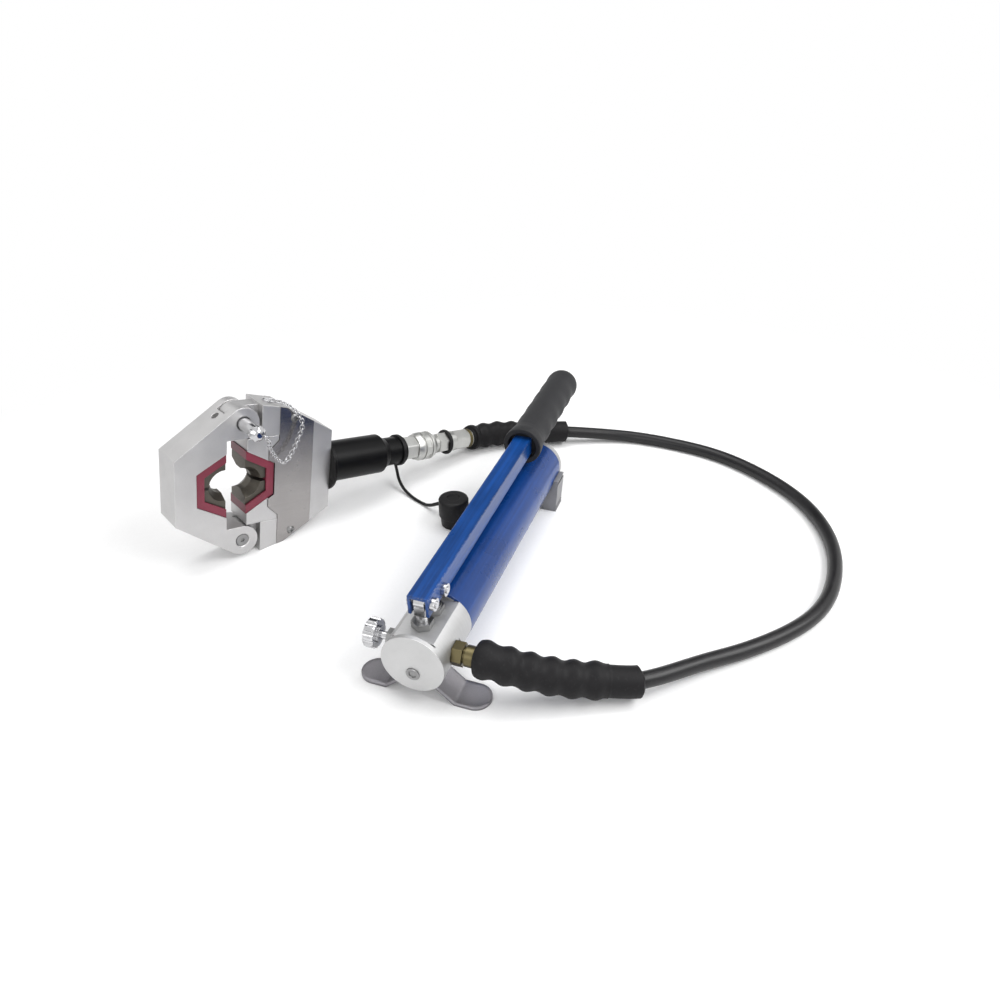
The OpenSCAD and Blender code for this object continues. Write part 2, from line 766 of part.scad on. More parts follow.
// Two steel jaws for one half, drawn for the ram side
module half_jaws() {
    for (end = [-1, 1]) difference() {
        slab(jaw_t) intersection() {
            half_hex(seat_flat, 0);
            translate([split, end > 0 ? jaw_slot / 2 : -big - jaw_slot / 2]) square(big);
        }
        cross_rod(2 * crimp_r, -head_t, head_t);
        for (side = [-1, 1]) translate([0, side * land_l / 2, 0]) rotate([-side * 90, 0, 0])
            cylinder(r1 = crimp_r - eps, r2 = mouth_r, h = jaw_t / 2 - land_l / 2 + eps);
    }
}

module gate_die() {
    color([0.55, 0.12, 0.2]) in_head() mirror([1, 0, 0]) half_die();
}

module gate_jaws() {
    color([0.33, 0.33, 0.31]) in_head() mirror([1, 0, 0]) half_jaws();
}

module lock_pin() {
    color("silver") in_head() {
        cross_rod(pin_d, lock_rest_y - lock_l, lock_rest_y - 2, pin_x, pin_z);
        translate([pin_x, lock_rest_y - 2 - eps, pin_z]) rotate([-90, 0, 0])
            cylinder(d1 = pin_d, d2 = pin_d - 3, h = 2);
    }
}

module lock_knob() {
    front = lock_rest_y - lock_l;
    color("gainsboro") in_head() difference() {
        translate([pin_x, front, pin_z]) rotate([90, 0, 0]) rotate_extrude()
            polygon([[0, 0], [lock_knob_d / 2 - 2, 0], [lock_knob_d / 2, 2], [lock_knob_d / 2, 5],
                [lock_knob_d / 2 - 3, 8], [3, lock_knob_l], [0, lock_knob_l]]);
        for (turn = [0 : 45 : 359]) translate([pin_x, front, pin_z]) rotate([0, turn, 0])
            translate([lock_knob_d / 2 + 1, 1, 0]) rotate([90, 0, 0]) cylinder(d = 4, h = 12);
    }
}

// Ram

module pusher() {
    horn_y = head_y - 0.2;
    thin_y = head_y - recess - gap;
    bib_edge = bib_x - gap;
    plate_edge = plate_x0 - gap;
    upper = [[bib_edge, bib_half + gap / 2], [plate_edge, bib_top + gap / 2], [plate_edge, horn_z],
        [horn_x, horn_z]];
    color("silver") in_head() difference() {
        union() {
            slab(2 * horn_y) polygon(concat(upper, flipped(upper)));
            slab(2 * thin_y) translate([horn_x, -horn_z]) square([pusher_x - horn_x, 2 * horn_z]);
        }
        slab(head_t + 2) half_hex(die_flat, ram_stroke, run_clear);
        long_rod(rod_d, pusher_x - 8, pusher_x + 1);
    }
}

module ram_die() {
    color([0.55, 0.12, 0.2]) in_head() translate([ram_stroke, 0, 0]) half_die();
}

module ram_jaws() {
    color([0.33, 0.33, 0.31]) in_head() translate([ram_stroke, 0, 0]) half_jaws();
}

module ram_piston() {
    color("gray") in_head() difference() {
        union() {
            long_rod(rod_d, pusher_x - 8, piston_x + 1);
            long_rod(piston_d, piston_x, piston_x + piston_l);
        }
        seal_groove(piston_d, piston_x + piston_l / 2);
    }
}

module piston_seal() {
    color([0.05, 0.05, 0.05]) in_head() seal_in_groove(piston_d, piston_x + piston_l / 2);
}

module return_spring() {
    mid = (rod_d + bore_d) / 4;
    from = bore_x + spring_wire / 2 + gap;
    rise = piston_x - gap - spring_wire / 2 - from;
    n = spring_turns * 12;
    turn = 360 * spring_turns / n;
    line = [for (i = [0 : n]) [from + rise * i / n, mid * cos(turn * i), mid * sin(turn * i)]];
    pitch_slope = rise / (2 * PI * mid * spring_turns);
    dirs = [for (i = [0 : n]) unit([pitch_slope, -sin(turn * i), cos(turn * i)])];
    color("dimgray") in_head() sweep(line, dirs, [for (i = [0 : n]) spring_wire / 2], 6, [1, 0, 0]);
}

// Hand pump

// A cylinder across the pump at u, from v0 to v1 on its left
module across(d, u, v0, v1, sides = $fn) {
    translate([u, v0, 0]) rotate([-90, 0, 0]) cylinder(d = d, h = v1 - v0, $fn = sides);
}

module pump_head() {
    color("gainsboro") on_pump_axis() difference() {
        union() {
            long_rod(pump_d, 0, pump_head_l);
            long_rod(tube_bore, pump_head_l - 1, head_end);
        }
        translate([lip_t, -pump_r, flat_h]) cube([pump_head_l - lip_t, pump_d, pump_r]);
        translate([lip_t, -pump_r, flat_h - 2]) cube([1.6, pump_d, pump_r]);
        // Seat and screws of the front foot
        translate([foot_u - wing_w / 2 - gap, -pump_r, -pump_r - 1])
            cube([wing_w + 2 * gap, pump_d, 1 + foot_top - pump_h + pump_r]);
        for (u = foot_screw_u) translate([u, 0, -pump_r])
            cylinder(d = foot_screw_d, h = foot_top - foot_t + foot_screw_l - pump_h + pump_r);
        // Fulcrum post and plunger
        translate([fulcrum_u, 0, flat_h - post_sink]) cylinder(d = post_d, h = post_sink + 1);
        translate([plunger_u, 0, suction_z - 2]) cylinder(d = plunger_d + 2 * run_clear, h = 2 * pump_r);
        // Outlet on the right, release valve on the left, suction at the back
        across(port_d + 11, port_u, -pump_r - 1, -spot_y);
        across(port_d, port_u, -pump_r, -port_in);
        across(ball_bore, port_u, -port_in - 1, -way_d);
        across(way_d, port_u, -way_d - 1, valve_in + 1);
        across(valve_d, port_u, valve_in, pump_r);
        across(valve_d + 9, port_u, spot_y, pump_r + 1);
        translate([0, -way_d, 0]) long_rod(way_d, port_u, plunger_u);
        translate([0, 0, suction_z]) long_rod(ball_bore, plunger_u, head_end + 1);
    }
}

module port_fitting() {
    hex_l = 9;
    neck_l = 2;
    color([0.62, 0.58, 0.4]) on_pump_axis() difference() {
        union() {
            across(port_d, port_u, -spot_y - 1, -port_in);
            across(port_d + 8, port_u, -spot_y - hex_l, -spot_y, 6);
            across(port_d + 1, port_u, -spot_y - hex_l - neck_l - 1, -spot_y - hex_l + 1);
            across(port_d + 5, port_u, -port_end, -spot_y - hex_l - neck_l);
        }
        across(oil_d, port_u, -port_end - 1, 0);
    }
}

module reservoir_tube() {
    color([0.1, 0.2, 0.62]) on_pump_axis() long_tube(pump_d, tube_bore, pump_head_l, tube_end);
}

module end_cap() {
    color("gainsboro") on_pump_axis() difference() {
        union() {
            long_rod(pump_d, tube_end, tube_end + end_cap_l - 2);
            long_rod(pump_d, tube_end + end_cap_l - 2 - eps, tube_end + end_cap_l, pump_d - 4);
            long_rod(tube_bore, tube_end - cap_spigot, tube_end + 1);
        }
        seal_groove(tube_bore, tube_end - cap_spigot / 2);
        long_rod(tube_bore - 12, tube_end - cap_spigot - 1, tube_end - 2);
        long_rod(plug_d - 4, tube_end - 4, tube_end + end_cap_l + 1);
    }
}

module cap_seal() {
    color([0.05, 0.05, 0.05]) on_pump_axis() seal_in_groove(tube_bore, tube_end - cap_spigot / 2);
}

module filler_plug() {
    end = tube_end + end_cap_l;
    color("gray") on_pump_axis() difference() {
        union() {
            long_rod(plug_d - 4, end - end_cap_l, end + 1);
            long_rod(plug_d, end, end + 4);
        }
        translate([end + 2.5, -plug_d, -1.25]) cube([4, 2 * plug_d, 2.5]);
    }
}

module suction_tube() {
    reach = 30;
    strainer_l = 12;
    from = plunger_u + plunger_d / 2 + ball_d + 0.5;
    color("gray") on_pump_axis() translate([0, 0, suction_z]) difference() {
        union() {
            long_rod(ball_bore, from, head_end + reach);
            long_rod(ball_bore + 6, head_end + reach - strainer_l, head_end + reach);
        }
        long_rod(oil_d, from - 1, head_end + reach + 1);
    }
}

// The inlet ball behind the plunger and the outlet ball behind the port
module check_balls() {
    color("silver") on_pump_axis() {
        translate([plunger_u + plunger_d / 2 + ball_d / 2, 0, suction_z]) sphere(d = ball_d);
        translate([port_u, -port_in + ball_d / 2 + gap, 0]) sphere(d = ball_d);
    }
}

module rear_foot() {
    saddle = pump_r + 5;
    foot_x = tube_end - rear_w;
    pad_w = 16;
    pad_h = 9;
    groove = 1.3;
    color("dimgray") in_pump() difference() {
        union() {
            translate([foot_x, 0, pump_h]) rotate([0, 90, 0]) cylinder(r = saddle, h = rear_w);
            for (turn = [0, 1]) mirror([0, turn, 0]) translate([foot_x, 0, 0]) rotate([90, 0, 90])
                linear_extrude(rear_w) polygon([[rear_span - pad_w, 0], [rear_span, 0], [rear_span, pad_h],
                    [saddle, pump_h - 8], [14, pump_h - pump_r + 4], [rear_span - pad_w, pad_h - 3]]);
        }
        translate([foot_x - 1, 0, pump_h]) rotate([0, 90, 0]) cylinder(r = pump_r, h = rear_w + 2);
        translate([foot_x - 1, -big / 2, pump_h - 4]) cube([rear_w + 2, big, big]);
        for (side = [-1, 1], level = [2.4, 5.6])
            translate([foot_x - 1, side * rear_span - 1.2, level]) cube([rear_w + 2, 2.4, groove]);
    }
}

module front_foot() {
    flat_y = 15;
    pad_y = 31;
    right = [[foot_span, foot_t], [pad_y, foot_t], [flat_y, foot_top]];
    top = concat(right, [for (i = [2 : -1 : 0]) [-right[i][0], right[i][1]]]);
    under = [for (i = [len(top) - 1 : -1 : 0]) top[i] - [0, foot_t]];
    color("darkgray") in_pump() difference() {
        intersection() {
            translate([foot_u - wing_w / 2, 0, 0]) rotate([90, 0, 90]) linear_extrude(wing_w)
                polygon(concat(top, under));
            union() {
                translate([foot_u - wing_w, wing_w / 2 - foot_span, -1])
                    cube([2 * wing_w, 2 * foot_span - wing_w, pump_h]);
                for (side = [-1, 1]) translate([foot_u, side * (foot_span - wing_w / 2), -1])
                    cylinder(d = wing_w, h = pump_h);
            }
        }
        for (u = foot_screw_u) translate([u, 0, 0]) cylinder(d = foot_screw_d + 0.4, h = pump_h);
    }
}

module foot_screws() {
    color("gray") in_pump() for (u = foot_screw_u)
        translate([u, 0, foot_top - foot_t]) mirror([0, 0, 1]) cross_screw(9, foot_screw_d, foot_screw_l);
}

// Lever and plunger

module fulcrum_post() {
    color("silver") in_pump() translate([fulcrum_u, 0, 0]) difference() {
        union() {
            translate([0, 0, flat_z - post_sink]) cylinder(d = post_d, h = fulcrum_h - flat_z + 2);
            translate([0, 0, fulcrum_h]) across(2 * eye_r, 0, -eye_t / 2, eye_t / 2);
            translate([-post_d / 2, -eye_t / 2, fulcrum_h - 12]) cube([post_d, eye_t, 12]);
        }
        translate([0, 0, fulcrum_h]) across(lever_pin_d + 2 * run_clear, 0, -channel_w, channel_w);
    }
}

module fulcrum_nut() {
    color("gray") in_pump() translate([fulcrum_u, 0, flat_z]) difference() {
        cylinder(d = post_d + 9, h = 6, $fn = 6);
        translate([0, 0, -1]) cylinder(d = post_d, h = 9);
    }
}

lip_wire = 1.8;
lip_h = 2.5;

module plunger_gland() {
    color("gray") in_pump() translate([plunger_u, 0, flat_z]) difference() {
        union() {
            cylinder(d = plunger_d + 8, h = 5, $fn = 6);
            cylinder(d = plunger_d + 3, h = 7);
        }
        translate([0, 0, -1]) cylinder(d = plunger_d + 2 * run_clear, h = 9);
        translate([0, 0, lip_h - lip_wire / 2 - seal_play])
            cylinder(d = plunger_d + 2 * run_clear + 2 * lip_wire, h = lip_wire + 2 * seal_play);
    }
}

module plunger_seal() {
    color([0.05, 0.05, 0.05]) in_pump() translate([plunger_u, 0, flat_z + lip_h]) rotate_extrude()
        translate([plunger_d / 2 + run_clear + lip_wire / 2, 0]) circle(d = lip_wire - seal_play);
}

// The plunger's eye is slotted along u, because the lever's pin swings
module plunger() {
    play = 0.4;
    swing = 2;
    ear_r = 6;
    hole_d = lever_pin_d + 2 * play;
    foot = pump_h + suction_z + 2;
    color("silver") in_pump() translate([plunger_u, 0, plunger_pin_h]) difference() {
        union() {
            translate([0, 0, foot - plunger_pin_h]) cylinder(d = plunger_d, h = plunger_pin_h - 9 - foot);
            translate([-plunger_d / 2, -eye_t / 2, -9.5]) cube([plunger_d, eye_t, 9]);
            translate([-swing, -eye_t / 2, -ear_r]) cube([2 * swing, eye_t, 2 * ear_r]);
            for (end = [-swing, swing]) across(2 * ear_r, end, -eye_t / 2, eye_t / 2);
        }
        for (end = [-swing, swing]) across(hole_d, end, -channel_w, channel_w);
        translate([-swing, -channel_w, -hole_d / 2]) cube([2 * swing, 2 * channel_w, hole_d]);
    }
}

// A headed pin across the lever, at a place in the lever's own frame
module lever_pin_at(x, z) {
    side = channel_w / 2;
    head_d = lever_pin_d + 5;
    translate([x, 0, z]) {
        cross_rod(lever_pin_d, -side - 5, side + 2.5);
        cross_rod(head_d, -side - 4, -side);
        cross_rod(head_d - 1, side, side + 1.4);
    }
}

module fulcrum_pin() {
    color("silver") in_lever() lever_pin_at(0, 0);
}

module plunger_pin() {
    color("silver") in_lever() lever_pin_at(arm_pin[0], arm_pin[1]);
}

module lever_channel() {
    color([0.1, 0.2, 0.62]) in_lever() difference() {
        union() {
            translate([-channel_front, -channel_w / 2, roof - channel_h])
                cube([channel_front + channel_l, channel_w, channel_h]);
            translate([0, 0, handle_z])
                long_rod(handle_d, channel_l - 1, grip_x0 + lever_grip_l - grip_close);
        }
        translate([-channel_front - 1, -channel_in / 2, roof - channel_h - 1])
            cube([channel_front + channel_l - 3, channel_in, channel_h - channel_wall + 1]);
        for (pin = [[0, 0], arm_pin])
            cross_rod(lever_pin_d, -channel_w, channel_w, pin[0], pin[1]);
    }
}

module lever_grip() {
    r = lever_grip_d / 2;
    l = lever_grip_l;
    waves = 5;
    plain = 14;
    mouth_l = 6;
    wavy = [for (i = [0 : 4 * waves]) let (f = i / (4 * waves))
        [r - 0.9 + 0.6 * cos(360 * waves * f) - (f < 0.1 ? 0 : 0.6), plain + f * (l - 2 * plain)]];
    color([0.2, 0.2, 0.21]) in_lever() translate([grip_x0, 0, handle_z]) difference() {
        rotate([0, 90, 0]) rotate_extrude()
            polygon(concat([[0, 0], [r, 0], [r + 1.5, 2], [r + 1.5, 7], [r - 0.3, 11]], wavy,
                [[r - 1.5, l - 7], [r - 5, l - 2], [r - 9, l], [0, l]]));
        long_rod(handle_d, mouth_l - 1, l - grip_close);
        long_rod(lever_grip_d - 9, -1, mouth_l);
        translate([-1, -channel_w / 2, -channel_h / 2]) cube([grip_lap + 1, channel_w, channel_h]);
    }
}

// Release valve

module release_gland() {
    color("silver") on_pump_axis() difference() {
        union() {
            across(valve_d, port_u, spot_y - 6, spot_y + 1);
            across(valve_d + 5, port_u, spot_y, spot_y + 5.5, 6);
        }
        across(valve_stem_d + 2 * run_clear, port_u, spot_y - 7, spot_y + 7);
    }
}

module release_stem() {
    tip_l = 3.5;
    color("silver") on_pump_axis() {
        across(valve_stem_d, port_u, valve_in + 0.5 + tip_l, knob_y + 1);
        translate([port_u, valve_in + 0.5, 0]) rotate([-90, 0, 0])
            cylinder(d1 = 1, d2 = valve_stem_d, h = tip_l + eps);
    }
}

module release_knob() {
    color("silver") in_pump() translate([port_u, knob_y, pump_h]) rotate([-90, 0, 0]) difference() {
        union() {
            cylinder(d = knob_d * 0.55, h = 3);
            translate([0, 0, 2]) cylinder(d1 = knob_d - 2, d2 = knob_d, h = 1.5);
            translate([0, 0, 3.5 - eps]) cylinder(d = knob_d, h = knob_t - 5);
            translate([0, 0, knob_t - 1.5 - 2 * eps]) cylinder(d1 = knob_d, d2 = knob_d - 3, h = 1.5);
        }
        for (turn = [0 : 36 : 359]) rotate([0, 0, turn]) translate([knob_d / 2 + 1.2, 0, -1])
            cylinder(d = 5.5, h = knob_t + 2);
        translate([0, 0, -1]) cylinder(d = valve_stem_d, h = 2);
        translate([0, 0, knob_t - 1.6]) cylinder(d = knob_d * 0.5, h = 3);
    }
}

yoke();
front_plate();
rear_plate();
plate_screws();
hinge_pin();
chain_rivet();
lock_chain();
cylinder_barrel();
barrel_nose();
strap_ring();
coupler_nipple();
coupler_collar();
coupler_body();
coupler_ring();
hose_nut();
far_grip();
hose();
near_grip();
port_fitting();
pump_head();
reservoir_tube();
end_cap();
cap_seal();
filler_plug();
suction_tube();
check_balls();
rear_foot();
front_foot();
foot_screws();
fulcrum_post();
fulcrum_nut();
plunger_gland();
plunger_seal();
release_gland();
dust_cap();
cap_strap();
gate();
gate_die();
gate_jaws();
lock_pin();
lock_knob();
pusher();
ram_die();
ram_jaws();
ram_piston();
piston_seal();
return_spring();
lever_channel();
lever_grip();
fulcrum_pin();
plunger_pin();
plunger();
release_knob();
release_stem();
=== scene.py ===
"""Looks of a hydraulic crimping tool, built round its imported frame.

The crimp head's jaws are at the origin, the lever pump lies in front of the
head, and a hose joins the two. Sizes are written in millimetres, in the frame
of the sub-assembly that they belong to, and become metres when a mesh is placed.
"""

from __future__ import annotations

import json
import logging
import math
from dataclasses import dataclass
from enum import Enum
from typing import Any, Iterable, Mapping, Sequence

import bmesh
import bpy
from mathutils import Matrix, Vector

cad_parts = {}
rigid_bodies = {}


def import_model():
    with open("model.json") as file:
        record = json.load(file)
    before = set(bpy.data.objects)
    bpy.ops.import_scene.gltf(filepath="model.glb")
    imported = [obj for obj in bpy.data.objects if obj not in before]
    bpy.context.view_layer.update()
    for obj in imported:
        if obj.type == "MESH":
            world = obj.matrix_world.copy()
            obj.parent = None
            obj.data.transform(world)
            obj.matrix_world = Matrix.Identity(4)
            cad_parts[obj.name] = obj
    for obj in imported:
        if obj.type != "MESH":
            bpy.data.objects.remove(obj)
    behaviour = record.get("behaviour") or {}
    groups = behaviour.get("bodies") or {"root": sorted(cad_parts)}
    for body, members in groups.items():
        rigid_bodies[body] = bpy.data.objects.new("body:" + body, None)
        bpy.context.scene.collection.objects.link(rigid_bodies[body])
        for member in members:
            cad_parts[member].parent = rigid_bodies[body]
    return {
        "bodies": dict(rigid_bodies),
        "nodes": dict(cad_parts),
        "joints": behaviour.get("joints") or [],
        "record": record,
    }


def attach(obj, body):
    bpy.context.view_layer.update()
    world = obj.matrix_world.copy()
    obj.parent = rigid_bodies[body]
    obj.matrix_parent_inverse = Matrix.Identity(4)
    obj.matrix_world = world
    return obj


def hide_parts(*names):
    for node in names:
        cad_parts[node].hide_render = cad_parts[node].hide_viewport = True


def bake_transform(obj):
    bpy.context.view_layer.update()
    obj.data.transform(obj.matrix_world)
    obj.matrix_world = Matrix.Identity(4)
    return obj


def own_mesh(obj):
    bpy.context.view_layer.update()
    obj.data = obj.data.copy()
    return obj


LOG = logging.getLogger("crimping_tool")
MM = 0.001

Colour = tuple[float, float, float, float]
Tone = tuple[int, int, int]
Point = tuple[float, float, float]
Pair = tuple[float, float]


def srgb(red: int, green: int, blue: int) -> Colour:
    """Turns screen colour values into the linear colour that shaders use.

    Args:
        red: Red from 0 to 255.
        green: Green from 0 to 255.
        blue: Blue from 0 to 255.

    Returns:
        The linear colour with full alpha.
    """

    def linear(value: int) -> float:
        """Turns one channel into its linear value."""
        share = value / 255
        return share / 12.92 if share <= 0.04045 else ((share + 0.055) / 1.055) ** 2.4

    return linear(red), linear(green), linear(blue), 1.0


def toned(colour: Colour, factor: float, lift: float = 0.0) -> Colour:
    """Makes a colour lighter or darker.

    Args:
        colour: The linear colour.
        factor: What its channels are multiplied by.
        lift: What is then added to them.

    Returns:
        The new colour with full alpha.
    """
    red, green, blue = (min(1.0, factor * channel + lift) for channel in colour[:3])
    return red, green, blue, 1.0


class Expr:
    """A shader value: a node's output with Python's arithmetic on it."""

    def __init__(self, surface: Surface, socket: bpy.types.NodeSocket) -> None:
        """Keeps the output socket and the surface that it belongs to."""
        self.surface = surface
        self.socket = socket

    def _math(self, operation: str, first: Any, second: Any = None) -> Expr:
        """Adds one Math node.

        Args:
            operation: The Math node's operation.
            first: Its first value or expression.
            second: Its second value or expression, if it has one.

        Returns:
            The node's result.
        """
        sockets = {0: first} if second is None else {0: first, 1: second}
        return self.surface.node("ShaderNodeMath", {"operation": operation}, sockets)

    def __add__(self, other: Any) -> Expr:
        """Sum."""
        return self._math("ADD", self, other)

    def __radd__(self, other: Any) -> Expr:
        """Sum with a number on the left."""
        return self._math("ADD", other, self)

    def __sub__(self, other: Any) -> Expr:
        """Difference."""
        return self._math("SUBTRACT", self, other)

    def __rsub__(self, other: Any) -> Expr:
        """Difference from a number on the left."""
        return self._math("SUBTRACT", other, self)

    def __mul__(self, other: Any) -> Expr:
        """Product."""
        return self._math("MULTIPLY", self, other)

    def __rmul__(self, other: Any) -> Expr:
        """Product with a number on the left."""
        return self._math("MULTIPLY", other, self)

    def between(self, low: float, high: float) -> Expr:
        """Stretches a range of this value to 0 to 1, and clips the rest.

        Args:
            low: The value that becomes 0.
            high: The value that becomes 1.

        Returns:
            The clipped share.
        """
        sockets = {"Value": self, "From Min": low, "From Max": high}
        return self.surface.node("ShaderNodeMapRange", {"clamp": True}, sockets)


class Surface:
    """A material or a world that is written one node at a time."""

    def __init__(self, owner: bpy.types.Material | bpy.types.World) -> None:
        """Starts with no nodes."""
        self.owner = owner
        owner.use_nodes = True
        self.tree = owner.node_tree
        self.tree.nodes.clear()

    def node(
        self,
        kind: str,
        settings: Mapping[str, Any] | None = None,
        sockets: Mapping[Any, Any] | None = None,
        output: int | str = 0,
    ) -> Expr:
        """Adds any node.

        Args:
            kind: The node's type name.
            settings: Attributes that are set before the sockets.
            sockets: Values or expressions by socket name or number.
            output: The output that is returned.

        Returns:
            That output as an expression.
        """
        made = self.tree.nodes.new(kind)
        for key, value in (settings or {}).items():
            setattr(made, key, value)
        for key, value in (sockets or {}).items():
            if isinstance(value, Expr):
                self.tree.links.new(value.socket, made.inputs[key])
            else:
                made.inputs[key].default_value = value
        return Expr(self, made.outputs[output])

    def place(self, stretch: Point = (1, 1, 1), turn: Point = (0, 0, 0)) -> Expr:
        """Object coordinates in millimetres.

        Args:
            stretch: Factor on each axis after the turn.
            turn: Turn about each axis, in degrees.

        Returns:
            The mapped coordinates.
        """
        spot = self.node("ShaderNodeTexCoord", output="Object")
        turned = self.node(
            "ShaderNodeMapping",
            {"vector_type": "POINT"},
            {"Vector": spot, "Rotation": [math.radians(a) for a in turn], "Scale": [1 / MM] * 3},
        )
        sockets = {0: turned, 1: stretch}
        return self.node("ShaderNodeVectorMath", {"operation": "MULTIPLY"}, sockets)

    def noise(
        self,
        scale: float,
        detail: float = 2.0,
        stretch: Point = (1, 1, 1),
        turn: Point = (0, 0, 0),
    ) -> Expr:
        """Soft noise, about 0.5 on average.

        Args:
            scale: Features in a millimetre.
            detail: Finer layers on top.
            stretch: Factor on each axis.
            turn: Turn about each axis, in degrees.

        Returns:
            The noise value.
        """
        sockets = {"Vector": self.place(stretch, turn), "Scale": scale, "Detail": detail}
        return self.node("ShaderNodeTexNoise", sockets=sockets)

    def mix(self, share: Any, first: Any, second: Any) -> Expr:
        """Mixes two colours.

        Args:
            share: How much of the second colour shows.
            first: The colour at 0.
            second: The colour at 1.

        Returns:
            The mixed colour.
        """
        sockets = {0: share, 6: first, 7: second}
        return self.node("ShaderNodeMix", {"data_type": "RGBA"}, sockets, output=2)

    def edges(self, radius: float) -> tuple[Expr, Expr]:
        """Softens the edges in the shading.

        Args:
            radius: Edge radius in millimetres.

        Returns:
            The softened normal, and a mask that is 1 on edges.
        """
        soft = self.node("ShaderNodeBevel", {"samples": 6}, {"Radius": radius * MM})
        flat = self.node("ShaderNodeNewGeometry", output="Normal")
        level = self.node(
            "ShaderNodeVectorMath", {"operation": "DOT_PRODUCT"}, {0: soft, 1: flat}, output="Value"
        )
        return soft, (1 - level).between(0.02, 0.22)

    def corners(self, reach: float) -> Expr:
        """A mask that is 1 in corners nearer than reach, in millimetres."""
        # The finishes darken their colour by this occlusion mask, painting shade into corners; in metal and
        # paint it also stands for grime.
        sockets = {"Distance": reach * MM}
        open_share = self.node("ShaderNodeAmbientOcclusion", {"samples": 6}, sockets, output="AO")
        return 1 - open_share.between(0.25, 0.95)

    def seen(self) -> Expr:
        """1 for rays from the camera and for mirrored or refracted ones, else 0."""
        names = ("Is Camera Ray", "Is Glossy Ray", "Is Transmission Ray")
        camera, glossy, clear = (self.node("ShaderNodeLightPath", output=name) for name in names)
        return (camera + glossy + clear).between(0.0, 1.0)

    def output(self, shader: Expr, kind: str = "ShaderNodeOutputMaterial") -> Any:
        """Ends with a shader.

        Args:
            shader: The finished shader.
            kind: The output node's type name.

        Returns:
            The material or world.
        """
        made = self.tree.nodes.new(kind)
        self.tree.links.new(shader.socket, made.inputs["Surface"])
        return self.owner

    def close(
        self, sockets: Mapping[str, Any], height: Expr, normal: Expr, depth: float
    ) -> bpy.types.Material:
        """Ends with a shader of the usual kind.

        Args:
            sockets: Values or expressions of the shader's sockets.
            height: Fine relief, from 0 to 1.
            normal: The softened normal below the relief.
            depth: Depth of the relief in millimetres.

        Returns:
            The finished material.
        """
        relief = self.node(
            "ShaderNodeBump",
            sockets={"Strength": 1.0, "Distance": depth * MM, "Height": height, "Normal": normal},
        )
        return self.output(self.node("ShaderNodeBsdfPrincipled", sockets={**sockets, "Normal": relief}))


class Grain(Enum):
    """How a metal surface was worked."""

    BLASTED = "fine blasted skin"
    BRUSHED = "straight brush lines"
    TURNED = "lathe lines"
    POLISHED = "polished or plated"
    SPANGLED = "zinc or cast skin"


@dataclass(frozen=True)
class Metal:
    """A bare or plated metal."""

    name: str
    colour: Tone
    roughness: float
    grain: Grain
    turn: Point = (0.0, 0.0, 0.0)
    edge_radius: float = 0.5
    grime_and_shade: float = 0.35
    grime_and_shade_reach: float = 3.0

    def relief(self, surface: Surface) -> tuple[Expr, float]:
        """The worked skin.

        Args:
            surface: The material that is being written.

        Returns:
            The relief from 0 to 1, and its depth in millimetres.
        """
        if self.grain is Grain.BRUSHED:
            return surface.noise(1.0, 3.0, (0.02, 3.0, 3.0), self.turn), 0.012
        if self.grain is Grain.TURNED:
            return surface.noise(1.0, 2.0, (2.2, 0.015, 0.015), self.turn), 0.02
        if self.grain is Grain.BLASTED:
            return surface.noise(2.6, 4.0), 0.05
        if self.grain is Grain.SPANGLED:
            return surface.noise(0.8, 5.0), 0.12
        return surface.noise(0.25, 3.0), 0.01

    def material(self) -> bpy.types.Material:
        """Writes the material."""
        surface = Surface(bpy.data.materials.new(self.name))
        normal, edge = surface.edges(self.edge_radius)
        skin, depth = self.relief(surface)
        cloud = surface.noise(0.035, 4.0)
        rub = surface.noise(0.5, 3.0, (0.2, 1.0, 1.0), (20, 35, 50)).between(0.5, 0.72)
        base = srgb(*self.colour)
        worked = cloud.between(0.3, 0.7) * 0.5 + skin.between(0.35, 0.65) * 0.3
        tint = surface.mix(worked, toned(base, 0.78), base)
        # Edges are painted lighter: rubbed wear, plus a painted highlight that is wide where the edge radius
        # is large.
        tint = surface.mix(edge * (0.35 + 0.5 * rub), tint, toned(base, 1.22, 0.02))
        # Corners are painted darker by ambient occlusion: grime, and painted shade.
        tint = surface.mix(surface.corners(self.grime_and_shade_reach) * self.grime_and_shade, tint, toned(base, 0.22))
        rough = self.roughness + (cloud - 0.5) * 0.16 + (skin - 0.5) * 0.14 + rub * 0.05
        return surface.close(
            {"Base Color": tint, "Roughness": rough.between(0.0, 1.0), "Metallic": 1.0},
            skin,
            normal,
            depth,
        )


